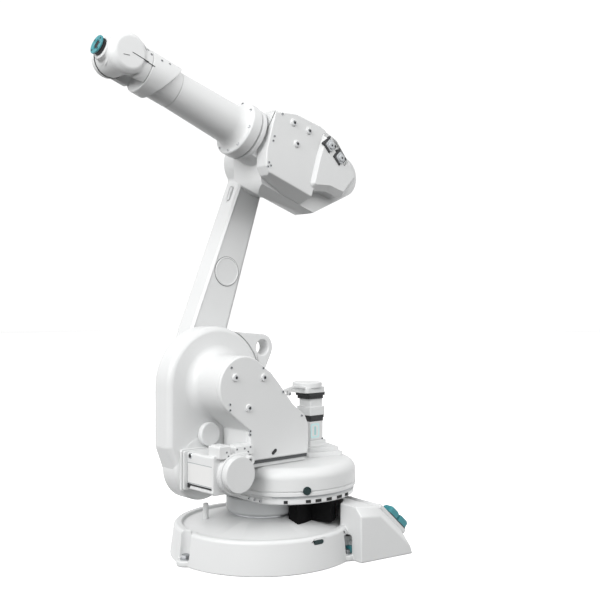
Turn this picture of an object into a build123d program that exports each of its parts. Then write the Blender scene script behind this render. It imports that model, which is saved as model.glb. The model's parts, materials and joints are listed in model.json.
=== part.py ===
from build123d import *
from math import cos, radians, sin
import os

# A six-axis industrial robot arm, in millimetres.
# The origin is on the floor under axis 1, +Z is up, and +X is where the arm points.

# Whole arm
axis_2_reach = 150.0
axis_2_height = 486.5
lower_arm_length = 700.0
elbow_to_wrist = 600.0
wrist_to_flange = 65.0
arm_lean_deg = 20.0
tube_pitch_deg = 18.7
base_turn_deg = -5.0
seat_gap = 0.3
overrun = 5.0

elbow_x = axis_2_reach - lower_arm_length * sin(radians(arm_lean_deg))
elbow_z = axis_2_height + lower_arm_length * cos(radians(arm_lean_deg))

# Base
base_radius = 256.0
base_foot_spread = 11.0
rim_height = 90.0
rim_width = 24.0
rim_chamfer = 6.0
pan_edge_height = 80.0
pan_centre_height = 112.0
pan_centre_radius = 100.0
box_front = 133.0
box_front_half_width = 280.5
box_rear_half_width = 293.5
box_height = 151.0
box_crest = 212.0
box_crest_drop = 8.0
box_slope_foot = 295.0
box_slope_foot_height = 67.0
box_rear = 317.0
box_side_chamfer = 24.0
ear_circle_radius = 256.0
ear_radius = 26.0
ear_height = 16.0
ear_pocket_height = 51.0
rear_pocket_radius = 18.0
ear_count = 3
base_bolt_radius = 9.0
race_radius = 95.0
race_rise = 6.0
pin_radius = 8.0
pin_circle_radius = 165.0
pin_turn_deg = -27.0
pin_rise = 52.0
oval_plug_length = 31.0
oval_plug_height = 12.0
oval_plug_depth = 8.0
oval_plug_stand = 2.5
oval_plug_turn_deg = 90.75

# Cable sockets on the base
socket_panel_thickness = 12.0
socket_panel_margin = 8.0
socket_panel_overhang = 24.0
socket_length = 40.0
socket_width = 40.0
socket_stand = 21.0
socket_corner = 8.0
socket_side_margin = 2.0
socket_gap = 5.0
socket_drop = 36.0
side_socket_radius = 9.0
side_socket_length = 14.0

# Turntable
hub_radius = 106.0
hub_chamfer = 6.0
box_clearance = 13.0
skirt_height = 22.0
skirt_inset = 3.0
housing_centre_x = -62.0
housing_centre_y = 6.0
housing_radius = 212.0
housing_front = 95.0
housing_height = 75.0
housing_bevel = 22.0
bowl_plug_radius = 10.0
bowl_plug_stand = 3.0
bowl_plug_depth = 8.0
bowl_plug_rise = 16.0
bowl_plug_turn_deg = 69.5

# Turning frame, placed from axis 2
plate_near = -18.6
plate_thickness = 69.4
plate_radius = 162.0
plate_chamfer = 11.0
plate_foot_radius = 25.0
plate_foot_reach = 205.0
chin_radius = 22.0
chin_drop = 160.0
motor_axis_ahead = 48.0
motor_axis_drop = 225.5
bulb_radius = 85.0
lug_behind = 175.0
lug_rise = 97.5
lug_radius = 40.0
lug_hole_radius = 22.0
lug_thickness = 44.0
drum_radius = 84.0
drum_foot_radius = 99.0
drum_foot_length = 15.0
cover_thickness = 12.0
cover_near = 103.0
cover_chamfer = 3.0
cover_corner = 6.0
cover_front_behind = 19.0
cover_front_drop = 117.5
cover_length = 237.0
cover_drop = 203.5
cover_rear_shares = [(0.39, -0.19), (0.544, 0.007), (0.747, 0.287), (0.941, 0.459),
                     (0.992, 0.587), (1, 0.77), (0.987, 1)]
cover_boss_radius = 10.0
cover_boss_stand = 5.0
cover_boss_shares = [(0.381, 0.327), (-0.798, 0.268), (-0.167, -0.685)]
plate_boss_ahead = 36.0
plate_boss_drop = 134.5
plate_boss_radius = 33.0
plate_boss_stand = 18.6

# Shoulder motor, beside the plate's lower bulb
motor_flange_front = 80.0
motor_flange_rear = 58.0
motor_flange_half_height = 57.0
motor_flange_thickness = 8.0
motor_box_front = 64.0
motor_box_rear = 51.0
motor_box_half_height = 50.0
motor_box_length = 124.6
motor_corner = 7.0
motor_plug_height = 25.0
motor_plug_length = 44.0
motor_plug_width = 40.0
motor_plug_gap = 14.0
motor_ring_radius = 60.0
motor_ring_length = 16.0
motor_eye_radius = 14.0
motor_eye_hole_radius = 6.0
motor_eye_behind = 43.0
motor_eye_rise = 31.0
motor_cap_radius = 46.0
motor_cap_length = 18.0
motor_cap_chamfer = 4.0

# Turning motor, upright on the turntable
upright_x = -190.0
upright_y = 0.0
upright_plinth_half = 40.0
upright_plinth_height = 28.0
upright_foot_half = 34.0
upright_foot_height = 13.0
upright_body_half = 27.0
upright_body_height = 62.0
upright_band_half = 25.0
upright_band_height = 12.0
upright_flange_half = 31.0
upright_flange_height = 26.0
upright_box_half = 26.0
upright_box_height = 31.0
upright_neck_radius = 22.0
upright_neck_top_radius = 35.0
upright_neck_height = 13.0
upright_plate_half = 37.0
upright_plate_height = 25.0
upright_plate_shift = 13.0
upright_plate_chamfer = 4.0
upright_cap_radius = 30.0
upright_cap_height = 6.0
upright_corner = 5.0

# Lower arm
arm_near = -129.0
arm_thickness = 71.0
arm_root_radius = 88.0
arm_tip_radius = 82.0
arm_root_width = 136.0
arm_tip_width = 80.0
arm_chamfer = 3.0
shoulder_hub_radius = 84.0
arm_plug_radius = 43.0
arm_plug_stand = 3.0
arm_plug_share = 0.49
arm_slot_share = 0.83
arm_slot_length = 48.0
arm_slot_width = 13.0
arm_slot_depth = 4.0

# Arm house, in the upper arm's own frame: shares of the elbow radius
elbow_radius = 105.0
elbow_chamfer = 6.0
house_front = 150.0
house_far = -86.0
house_step = 40.0
house_keel_share = -1.4
house_far_edge_share = -1.02
house_near_edge_share = -1.0
house_circle_shares = [(0, 0, 1), (-1.9, 0.24, 0.57), (-0.86, 0.48, 0.52), (0.9, 0.43, 0.48),
                       (-0.9, -0.93, 0.38), (0.48, -0.92, 0.48)]
house_neck_radius = 76.0
cap_near = 95.0
cap_round = 20.0
cap_chamfer = 17.0
cap_shares = [(-0.38, 0.98), (-0.33, 0.17), (-0.36, -0.82), (-0.63, -0.8), (-1.11, -0.62),
              (-1.7, -0.58), (-2.08, 0.21), (-1.75, 0.5), (-1.0, 0.95)]
house_cover_near = 85.0
house_cover_side_chamfer = 25.0
house_cover_front_chamfer = 9.0
house_cover_shares = [(1.35, 0.63), (0.65, 0.91), (-0.28, 1), (-0.5, 0.98), (-0.6, 0), (-0.6, -1.2),
                      (0.13, -1.2), (1.0, -1.05), (1.19, -0.87), (1.3, -0.47)]
house_boss_radius = 10.0
house_boss_stand = 5.0
house_boss_shares = [(0.68, 0.63), (0.095, 0.67), (0.39, 0.13)]
collar_radius = 78.0
collar_length = 16.0
collar_chamfer = 4.0
connector_length = 115.0
connector_height = 30.0
connector_stand = 6.0
connector_sink = 15.0
connector_turn_deg = 27.7
connector_centre_share = (-1.0, 0.67)

# Forearm
tube_flange_radius = 80.0
tube_flange_gap = 4.7
tube_spigot_radius = 64.0
tube_flange_thickness = 33.0
tube_flange_chamfer = 3.0
tube_root_radius = 63.0
tube_tip_radius = 51.0
wrist_radius = 60.0
wrist_step_top = 172.0
wrist_step_bottom = 106.0
wrist_front_gap = 70.0
wrist_chamfer = 4.0
cheek_half = 64.0
cheek_thickness = 26.0
cheek_radius = 54.0
cheek_chamfer = 12.0

# Wrist tilt and tool flange
tilt_radius = 46.0
tilt_nose_radius = 32.0
tool_flange_radius = 25.0
tool_flange_thickness = 15.0
tool_bolt_circle_radius = 20.0
tool_bolt_radius = 2.5
tool_bolt_depth = 9.0
tool_bolt_count = 4
tool_bolt_start_deg = 45.0
tool_pilot_radius = 12.5
tool_pilot_depth = 5.0

# Frames of the links
base_frame = Rot(0, 0, base_turn_deg)
axis_2_frame = Pos(axis_2_reach, 0, axis_2_height)
lower_arm_frame = axis_2_frame * Rot(0, -arm_lean_deg, 0)
upper_arm_frame = Pos(elbow_x, 0, elbow_z) * Rot(0, -tube_pitch_deg, 0)
wrist_frame = upper_arm_frame * Pos(elbow_to_wrist, 0, 0)


def slab(outline, low, high):
    """A flat outline in the upright plane, from one sideways place to another."""
    plane = Plane(origin=(0, high, 0), x_dir=(1, 0, 0), z_dir=(0, -1, 0))
    return extrude(plane * outline, amount=high - low)


def disc(radius, x, z, low, high):
    """A round piece whose axis runs sideways."""
    return slab(Pos(x, z) * Circle(radius), low, high)


def post(radius, low, high, x=0, y=0):
    """A round upright piece."""
    return Pos(x, y, (low + high) / 2) * Cylinder(radius, high - low)


def rod(radius, start, end):
    """A round piece along the forearm's axis, in the upper arm's own frame."""
    return Pos((start + end) / 2, 0, 0) * Rot(0, 90, 0) * Cylinder(radius, end - start)


def block(x_low, x_high, y_low, y_high, z_low, z_high):
    """A box between two corners."""
    centre = Pos((x_low + x_high) / 2, (y_low + y_high) / 2, (z_low + z_high) / 2)
    return centre * Box(x_high - x_low, y_high - y_low, z_high - z_low)


def outline(points):
    """A closed flat outline through points."""
    return make_face(Polyline(*points, close=True))


def scaled(shares, size):
    """Points given as shares of one size."""
    return [(along * size, up * size) for along, up in shares]


def hull(*circles):
    """The outline that a band round some circles makes."""
    return make_hull([edge for circle in circles for edge in circle.edges()])


def near_edges(piece):
    """The edges round the face that looks to the arm's left."""
    return piece.faces().sort_by(Axis.Y)[-1].outer_wire().edges()


parts = {}


# Base casting: a shallow pan with a sloped floor, a box at the rear and three bolt ears
def base_pan():
    inner = base_radius - rim_width
    shoulder = rim_height - rim_chamfer
    profile = outline([(0, 0), (base_radius + base_foot_spread, 0), (base_radius, shoulder),
                       (base_radius - rim_chamfer, rim_height), (inner, rim_height),
                       (inner, pan_edge_height), (pan_centre_radius, pan_centre_height),
                       (0, pan_centre_height)])
    return revolve(Plane.XZ * profile, axis=Axis.Z)


def base_box():
    side = outline([(-box_front, 0), (-box_front, box_height), (-box_crest, box_height - box_crest_drop),
                    (-box_slope_foot, box_slope_foot_height), (-box_rear, 0)])
    plan = outline([(-box_front, -box_front_half_width), (-box_front, box_front_half_width),
                    (-box_rear, box_rear_half_width), (-box_rear, -box_rear_half_width)])
    box = slab(side, -box_rear_half_width, box_rear_half_width) & extrude(plan, amount=box_height)
    side_edges = [edge for edge in box.edges() if abs(edge.center().Y) > box_front_half_width - seat_gap
                  and min(vertex.Z for vertex in edge.vertices()) > box_slope_foot_height - seat_gap
                  and edge.bounding_box().size.X > seat_gap]
    box = chamfer(side_edges, box_side_chamfer)
    return box - post(base_radius - rim_width, 0, box_height + overrun)


def base_casting():
    casting = base_pan() + base_box()
    places = PolarLocations(ear_circle_radius, ear_count)
    for place in places:
        casting += place * post(ear_radius, 0, ear_height)
    for place in places:
        casting -= place * post(rear_pocket_radius, ear_height, ear_height + ear_pocket_height)
        casting -= place * post(base_bolt_radius, -overrun, ear_height + overrun)
    front_opening = block(0, 2 * ear_radius, -ear_radius, ear_radius, ear_height, rim_height + overrun)
    front_opening += post(ear_radius, ear_height, rim_height + overrun)
    return casting - Pos(ear_circle_radius, 0, 0) * front_opening


def oval_plug():
    flat = Rot(0, 90, 0) * SlotOverall(oval_plug_length, oval_plug_height, rotation=90)
    plug = extrude(flat, amount=oval_plug_depth)
    level = rim_height - rim_chamfer - oval_plug_height / 2 - oval_plug_stand
    start = base_radius + oval_plug_stand - oval_plug_depth
    return Rot(0, 0, oval_plug_turn_deg) * Pos(start, 0, level) * plug


def stop_pin():
    bottom = pan_edge_height
    pin = post(pin_radius, bottom, rim_height + pin_rise, x=pin_circle_radius)
    return Rot(0, 0, pin_turn_deg) * pin


def side_socket():
    ear_turn = radians(360 / ear_count)
    start = ear_circle_radius * cos(ear_turn) - rear_pocket_radius - side_socket_length / 4
    level = ear_height + ear_pocket_height / 2
    place = Pos(start, ear_circle_radius * sin(ear_turn), level) * Rot(0, 90, 0)
    return place * Cylinder(side_socket_radius, side_socket_length,
                            align=(Align.CENTER, Align.CENTER, Align.MIN))


casting = base_casting() - stop_pin() - oval_plug() - side_socket()
parts["base_casting"] = base_frame * casting
race_top = pan_centre_height + race_rise
parts["bearing_race"] = post(race_radius, pan_centre_height, race_top)
parts["stop_pin"] = base_frame * stop_pin()
parts["oval_plug"] = base_frame * oval_plug()
parts["side_socket"] = base_frame * side_socket()

# Sloped rear panel with its cable sockets
slope_run = box_slope_foot - box_crest
slope_drop = box_height - box_crest_drop - box_slope_foot_height
slope_length = (slope_run ** 2 + slope_drop ** 2) ** 0.5
rear_slope = Plane(
    origin=(-box_crest - slope_run / 2, 0, box_slope_foot_height + slope_drop / 2),
    x_dir=(0, 1, 0), z_dir=(-slope_drop, 0, slope_run))
panel_height = slope_length - socket_panel_margin + socket_panel_overhang
panel_width = 2 * (box_rear_half_width - box_side_chamfer - socket_panel_margin)
panel_drop = (socket_panel_margin + socket_panel_overhang) / 2
panel_shape = Pos(0, panel_drop) * Rectangle(panel_width, panel_height)
parts["socket_panel"] = base_frame * extrude(rear_slope * panel_shape, amount=socket_panel_thickness)
near_socket = panel_width / 2 - socket_side_margin - socket_width / 2
socket_step = (socket_length + socket_gap) / 2
socket_places = [(near_socket, socket_drop - socket_step), (near_socket, socket_drop + socket_step),
                 (0, panel_drop)]
for number, (across, along) in enumerate(socket_places):
    shape = Pos(across, along) * RectangleRounded(socket_width, socket_length, socket_corner)
    socket = extrude(rear_slope.offset(socket_panel_thickness) * shape, amount=socket_stand)
    parts[f"cable_socket_{number + 1}"] = base_frame * socket


# Turntable: a round hub, a skirt and a bowl that carries the frame and the upright motor
def housing_outline(radius):
    circle = Pos(housing_centre_x, housing_centre_y) * Circle(radius)
    front = Pos(housing_front - radius, housing_centre_y) * Rectangle(2 * radius, 2 * radius + overrun)
    return circle & front


hub_top = box_height + box_clearance
skirt_top = hub_top + skirt_height
housing_top = skirt_top + housing_height
hub = post(hub_radius, race_top + seat_gap, hub_top)
parts["turntable_hub"] = chamfer(hub.faces().sort_by(Axis.Z)[0].edges(), hub_chamfer)
parts["turntable_skirt"] = Pos(0, 0, hub_top) * extrude(
    housing_outline(housing_radius - skirt_inset), amount=skirt_height)
bowl = Pos(0, 0, skirt_top) * extrude(housing_outline(housing_radius), amount=housing_height)
bowl = chamfer(bowl.faces().sort_by(Axis.Z)[-1].edges(), housing_bevel)
plug_place = (Pos(housing_centre_x, housing_centre_y, skirt_top + bowl_plug_rise)
              * Rot(0, 0, bowl_plug_turn_deg) * Rot(0, 90, 0))
bowl_plug = plug_place * Pos(0, 0, housing_radius - bowl_plug_depth) * Cylinder(
    bowl_plug_radius, bowl_plug_depth + bowl_plug_stand,
    align=(Align.CENTER, Align.CENTER, Align.MIN))
parts["turntable_bowl"] = bowl - bowl_plug
parts["bowl_plug"] = bowl_plug

# Turning frame: the D-shaped side plate with its chin, motor bulb and lifting lug
plate_far = plate_near - plate_thickness
plate_middle = (plate_near + plate_far) / 2
motor_axis_x = axis_2_reach + motor_axis_ahead
motor_axis_z = axis_2_height - motor_axis_drop
foot_x = axis_2_reach - plate_foot_reach


def plate_outline():
    crown = Pos(axis_2_reach, axis_2_height) * Circle(plate_radius)
    chin = Pos(axis_2_reach + plate_radius - chin_radius, axis_2_height - chin_drop) * Circle(chin_radius)
    bulb = Pos(motor_axis_x, motor_axis_z) * Circle(bulb_radius)
    foot = Pos(foot_x, housing_top + plate_foot_radius) * Circle(plate_foot_radius)
    web = Pos((foot_x + axis_2_reach) / 2, (housing_top + axis_2_height) / 2) * Rectangle(
        axis_2_reach - foot_x, axis_2_height - housing_top)
    return hull(crown, chin, bulb) + hull(crown, foot) + web


plate = slab(plate_outline(), plate_far, plate_near)
rim_edges = [edge for edge in near_edges(plate) if edge.bounding_box().size.Z > seat_gap]
plate = chamfer(rim_edges, plate_chamfer)
lug_x = axis_2_reach - lug_behind
lug_z = axis_2_height + lug_rise
lug_outline = hull(Pos(axis_2_reach, axis_2_height) * Circle(plate_radius - plate_chamfer),
                   Pos(lug_x, lug_z) * Circle(lug_radius))
plate += slab(lug_outline, plate_middle - lug_thickness / 2, plate_middle + lug_thickness / 2)
plate -= disc(lug_hole_radius, lug_x, lug_z, plate_far - overrun, plate_near + overrun)
parts["frame_plate"] = plate

# Drum of axis 2 and the body below it, closed by a bolted cover, placed from axis 2
drum_near = cover_near - cover_thickness


def body_outline(bottom):
    rear = [(-along * cover_length, -down * cover_drop) for along, down in cover_rear_shares]
    shoulder_x, shoulder_z = rear[0]
    foot_x = rear[-1][0]
    side = outline([(-cover_front_behind, bottom), (-cover_front_behind, -cover_front_drop), (0, 0),
                    *rear[:-1], (foot_x, bottom)])
    drum = Circle(drum_radius)
    front_corner = Pos(-cover_front_behind - cover_corner, -cover_front_drop) * Circle(cover_corner)
    rear_corner = Pos(shoulder_x + cover_corner, shoulder_z - cover_corner) * Circle(cover_corner)
    return side + hull(drum, front_corner) + hull(drum, rear_corner)


drum = slab(body_outline(housing_top - axis_2_height), plate_near, drum_near)
drum += Pos(0, plate_near, 0) * Rot(-90, 0, 0) * Cone(
    drum_foot_radius, drum_radius, drum_foot_length, align=(Align.CENTER, Align.CENTER, Align.MIN))
parts["frame_drum"] = axis_2_frame * drum
cover = slab(body_outline(-cover_drop), drum_near, cover_near)
cover = chamfer(near_edges(cover), cover_chamfer)
for along, up in cover_boss_shares:
    cover += disc(cover_boss_radius, along * drum_radius, up * drum_radius,
                  cover_near, cover_near + cover_boss_stand)
parts["cover_plate"] = axis_2_frame * cover
parts["plate_boss"] = axis_2_frame * disc(
    plate_boss_radius, plate_boss_ahead, -plate_boss_drop, plate_near, plate_near + plate_boss_stand)


# Shoulder motor, in a frame of its own axis
def motor_piece(front, rear, half_height, low, high):
    shape = Pos((front - rear) / 2, 0) * RectangleRounded(front + rear, 2 * half_height, motor_corner)
    return slab(shape, low, high)


motor_frame = Pos(motor_axis_x, 0, motor_axis_z)
flange_end = plate_near + motor_flange_thickness
box_end = flange_end + motor_box_length
ring_end = box_end + motor_ring_length
parts["motor_flange"] = motor_frame * motor_piece(
    motor_flange_front, motor_flange_rear, motor_flange_half_height, plate_near, flange_end)
motor_box = motor_piece(motor_box_front, motor_box_rear, motor_box_half_height, flange_end, box_end)
plug_front = motor_box_front - motor_corner
for number in range(2):
    plug_x = plug_front - number * (motor_plug_length + motor_plug_gap)
    motor_box += block(plug_x - motor_plug_length, plug_x, box_end - motor_corner - motor_plug_width,
                       box_end - motor_corner, 0, motor_box_half_height + motor_plug_height)
parts["motor_box"] = motor_frame * motor_box
motor_ring = disc(motor_ring_radius, 0, 0, box_end, ring_end)
motor_ring += disc(motor_eye_radius, -motor_eye_behind, motor_eye_rise, box_end, ring_end)
eye_hole = disc(motor_eye_hole_radius, -motor_eye_behind, motor_eye_rise, box_end, ring_end + overrun)
parts["motor_ring"] = motor_frame * (motor_ring - eye_hole)
motor_cap = disc(motor_cap_radius, 0, 0, ring_end, ring_end + motor_cap_length)
motor_cap -= eye_hole
parts["motor_cap"] = motor_frame * chamfer(near_edges(motor_cap).filter_by(GeomType.CIRCLE), motor_cap_chamfer)


# Upright motor that turns axis 1
def upright_square(half, low, height):
    shape = Pos(upright_x, upright_y) * RectangleRounded(2 * half, 2 * half, upright_corner)
    return Pos(0, 0, low) * extrude(shape, amount=height)


plinth_top = housing_top + upright_plinth_height
foot_top = plinth_top + upright_foot_height
body_top = foot_top + upright_body_height
band_top = body_top + upright_band_height
flange_top = band_top + upright_flange_height
upper_box_top = flange_top + upright_box_height
neck_top = upper_box_top + upright_neck_height
plate_top = neck_top + upright_plate_height
parts["upright_foot"] = (upright_square(upright_plinth_half, housing_top, upright_plinth_height)
                         + upright_square(upright_foot_half, plinth_top, upright_foot_height))
parts["upright_body"] = upright_square(upright_body_half, foot_top, upright_body_height)
parts["upright_flange"] = (upright_square(upright_flange_half, band_top, upright_flange_height)
                           + upright_square(upright_box_half, flange_top, upright_box_height))
neck = Pos(upright_x, upright_y, upper_box_top) * Cone(
    upright_neck_radius, upright_neck_top_radius, upright_neck_height,
    align=(Align.CENTER, Align.CENTER, Align.MIN))
band = upright_square(upright_band_half, body_top, upright_band_height)
parts["upright_neck"] = Compound(children=[neck, band])
top_plate = Pos(upright_plate_shift, 0, 0) * upright_square(
    upright_plate_half, neck_top, upright_plate_height)
top_plate = chamfer(top_plate.faces().sort_by(Axis.Z)[-1].edges(), upright_plate_chamfer)
top_plate += post(upright_cap_radius, plate_top, plate_top + upright_cap_height,
                  x=upright_x + upright_plate_shift, y=upright_y)
parts["upright_plate"] = top_plate


# Lower arm, in its own frame: +Z from the shoulder to the elbow
def lower_arm():
    far = arm_near - arm_thickness
    tip = Pos(0, lower_arm_length) * Circle(arm_tip_radius)
    beam = outline([(-arm_root_width / 2, 0), (arm_root_width / 2, 0),
                    (arm_tip_width / 2, lower_arm_length), (-arm_tip_width / 2, lower_arm_length)])
    arm = slab(Circle(arm_root_radius) + beam + tip, far, arm_near)
    arm = chamfer(near_edges(arm), arm_chamfer)
    slot_z = arm_slot_share * lower_arm_length
    half_width = (arm_root_width + arm_slot_share * (arm_tip_width - arm_root_width)) / 2
    slot_y = (arm_near + far) / 2
    return arm - block(half_width - arm_slot_depth, half_width + overrun,
                       slot_y - arm_slot_width / 2, slot_y + arm_slot_width / 2,
                       slot_z - arm_slot_length / 2, slot_z + arm_slot_length / 2)


parts["lower_arm"] = lower_arm_frame * lower_arm()
parts["shoulder_hub"] = lower_arm_frame * disc(shoulder_hub_radius, 0, 0, arm_near, plate_far - seat_gap)
parts["arm_plug"] = lower_arm_frame * disc(
    arm_plug_radius, 0, arm_plug_share * lower_arm_length, arm_near, arm_near + arm_plug_stand)


# Arm house: a keeled casting with a thick rear cap, a bolted cover and a round collar
def house_section():
    """The keel's shape, as seen along the forearm, run past both ends of the house."""
    top = (elbow_radius + overrun)
    section = outline([(house_far, elbow_radius * house_far_edge_share), (0, elbow_radius * house_keel_share),
                       (house_cover_near, elbow_radius * house_near_edge_share),
                       (cap_near + overrun, elbow_radius * house_near_edge_share), (cap_near + overrun, top),
                       (house_far, top)])
    plane = Plane(origin=(-3 * elbow_radius, 0, 0), x_dir=(0, 1, 0), z_dir=(1, 0, 0))
    return extrude(plane * section, amount=6 * elbow_radius)


def rear_cap():
    side = fillet(outline(scaled(cap_shares, elbow_radius)).vertices(), cap_round)
    cap = slab(side, house_step, cap_near)
    return chamfer(near_edges(cap), cap_chamfer)


def house_cover(cap):
    side = outline(scaled(house_cover_shares, elbow_radius))
    front_x = house_front
    plan = outline([(-3 * elbow_radius, house_step), (front_x, house_step),
                    (front_x, house_cover_near - house_cover_side_chamfer),
                    (front_x - house_cover_front_chamfer, house_cover_near),
                    (-3 * elbow_radius, house_cover_near)])
    plan_prism = Pos(0, 0, -3 * elbow_radius) * extrude(plan, amount=6 * elbow_radius)
    cover = (slab(side, house_step, house_cover_near) & plan_prism & house_section()) - cap
    for along, up in house_boss_shares:
        cover += disc(house_boss_radius, along * elbow_radius, up * elbow_radius,
                      house_cover_near, house_cover_near + house_boss_stand)
    return cover


circles = [Pos(along * elbow_radius, up * elbow_radius) * Circle(share * elbow_radius)
           for along, up, share in house_circle_shares]
house = slab(hull(*circles), house_far, house_step) & house_section()
house += rod(house_neck_radius, 0, house_front) & slab(
    Rectangle(3 * elbow_radius, 3 * elbow_radius), house_far, house_step)
cap = rear_cap()
connector_x, connector_z = (share * elbow_radius for share in connector_centre_share)
connector = Pos(connector_x, 0, connector_z) * Rot(0, -connector_turn_deg, 0) * block(
    -connector_length / 2, connector_length / 2, cap_near - connector_sink, cap_near + connector_stand,
    -connector_height / 2, connector_height / 2)
parts["house_casting"] = upper_arm_frame * (house + cap - connector)
parts["house_cover"] = upper_arm_frame * (house_cover(cap) - connector)
parts["connector_block"] = upper_arm_frame * connector
parts["elbow_drum"] = upper_arm_frame * disc(elbow_radius, 0, 0, arm_near + seat_gap, house_far)
collar = rod(collar_radius, house_front, house_front + collar_length)
parts["house_collar"] = upper_arm_frame * chamfer(
    collar.faces().sort_by(Axis.X)[-1].edges(), collar_chamfer)

# Forearm
flange_start = house_front + collar_length + tube_flange_gap
flange_stop = flange_start + tube_flange_thickness
spigot = rod(tube_spigot_radius, house_front + collar_length + seat_gap, flange_start)
flange = rod(tube_flange_radius, flange_start, flange_stop)
flange = chamfer(flange.faces().sort_by(Axis.X)[-1].edges(), tube_flange_chamfer)
parts["forearm_flange"] = upper_arm_frame * (flange + spigot)
tube_end = elbow_to_wrist - wrist_step_top
wrist_end = elbow_to_wrist - wrist_front_gap
tube = Pos((flange_stop + tube_end) / 2, 0, 0) * Rot(0, 90, 0) * Cone(
    tube_root_radius, tube_tip_radius, tube_end - flange_stop)
parts["forearm_tube"] = upper_arm_frame * tube

# Wrist: a sleeve with a slanting step, and a fork of two domed cheeks
sleeve = rod(wrist_radius, tube_end, wrist_end)
sleeve = chamfer(sleeve.faces().sort_by(Axis.X)[0].edges(), wrist_chamfer)
slanted = outline([(tube_end, wrist_radius), (wrist_end, wrist_radius), (wrist_end, -wrist_radius),
                   (elbow_to_wrist - wrist_step_bottom, -wrist_radius)])
wrist = sleeve & slab(slanted, -wrist_radius, wrist_radius)
parts["wrist_casting"] = upper_arm_frame * (wrist + rod(tube_tip_radius, tube_end, wrist_end))
for name, side in (("left", 1), ("right", -1)):
    low, high = sorted((side * (cheek_half - cheek_thickness), side * cheek_half))
    dome = disc(cheek_radius, elbow_to_wrist, 0, low, high)
    dome = chamfer(dome.faces().sort_by(Axis.Y)[-1 if side > 0 else 0].edges(), cheek_chamfer)
    dome -= slab(Pos(wrist_end - cheek_radius, 0) * Rectangle(2 * cheek_radius, 2 * cheek_radius), low, high)
    bridge = rod(wrist_radius, wrist_end, elbow_to_wrist) & slab(
        Pos(elbow_to_wrist, 0) * Rectangle(2 * wrist_front_gap, 2 * cheek_radius), low, high)
    parts[f"wrist_cheek_{name}"] = upper_arm_frame * (dome + bridge)

# Wrist tilt and tool flange
tilt_side = cheek_half - cheek_thickness - seat_gap
flange_back = wrist_to_flange - tool_flange_thickness
tilt = disc(tilt_radius, 0, 0, -tilt_side, tilt_side)
tilt += rod(tilt_nose_radius, 0, flange_back - seat_gap)
parts["wrist_tilt"] = wrist_frame * tilt
tool_flange = rod(tool_flange_radius, flange_back, wrist_to_flange)
tool_flange -= rod(tool_pilot_radius, wrist_to_flange - tool_pilot_depth, wrist_to_flange + overrun)
for place in PolarLocations(tool_bolt_circle_radius, tool_bolt_count, start_angle=tool_bolt_start_deg):
    hole = place * Cylinder(tool_bolt_radius, tool_bolt_depth, align=(Align.CENTER, Align.CENTER, Align.MAX))
    tool_flange -= Pos(wrist_to_flange, 0, 0) * Rot(0, 90, 0) * hole
parts["tool_flange"] = wrist_frame * tool_flange

os.makedirs("parts", exist_ok=True)
for name, shape in parts.items():
    solids = shape.solids()
    export_step(Compound(children=list(solids)) if len(solids) > 1 else solids[0], f"parts/{name}.step")
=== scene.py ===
# %% [markdown]
# # A six-axis industrial robot arm
# This lesson dresses a robot arm that already exists as exact solids. The solids give every size and
# every axis, and Blender gives the paint, the screws, the moulded caps and the light. All lengths below
# are written in millimetres and turned to metres by one constant.

# %% Load the frame
import json
from math import cos, pi, radians, sin

import bmesh
import bpy
from mathutils import Matrix, Vector


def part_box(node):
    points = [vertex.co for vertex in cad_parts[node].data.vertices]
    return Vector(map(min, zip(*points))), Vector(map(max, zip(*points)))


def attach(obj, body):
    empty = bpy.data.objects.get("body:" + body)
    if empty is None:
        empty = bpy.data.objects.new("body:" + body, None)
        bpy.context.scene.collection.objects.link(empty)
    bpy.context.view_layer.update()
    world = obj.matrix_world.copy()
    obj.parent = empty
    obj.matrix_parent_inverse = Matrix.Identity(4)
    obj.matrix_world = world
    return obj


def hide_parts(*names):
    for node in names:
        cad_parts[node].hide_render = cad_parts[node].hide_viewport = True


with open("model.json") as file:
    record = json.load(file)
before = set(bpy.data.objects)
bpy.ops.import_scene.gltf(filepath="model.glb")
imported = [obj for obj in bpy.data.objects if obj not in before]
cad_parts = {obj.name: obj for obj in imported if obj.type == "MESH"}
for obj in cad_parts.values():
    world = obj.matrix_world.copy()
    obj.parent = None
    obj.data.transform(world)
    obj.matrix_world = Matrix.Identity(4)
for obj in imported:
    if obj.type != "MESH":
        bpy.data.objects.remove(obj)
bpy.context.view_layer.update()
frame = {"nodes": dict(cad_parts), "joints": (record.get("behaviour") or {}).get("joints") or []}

MM = 0.001
nodes = frame["nodes"]
print("solids loaded:", len(nodes))

# %% [markdown]
# ## The camera
# The photograph was taken a little below shoulder height, from the robot's front left, through a
# slightly long lens. The values come from matching known joint heights to their places in the picture.
# The view is level, so upright edges stay upright, and a small shift frames the arm.

# %% Camera
FRAME_PIXELS = 600
SENSOR_MM = 36
FOCAL_PIXELS = 884.3
VIEW_DEPTH = 2563.8
VIEW_HEIGHT = 704.0
VIEW_TURN_DEG = 42.27
VIEW_SIDE = 107.75
HORIZON_PIXEL = 306.6
CLIP_END_M = 50

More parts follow.
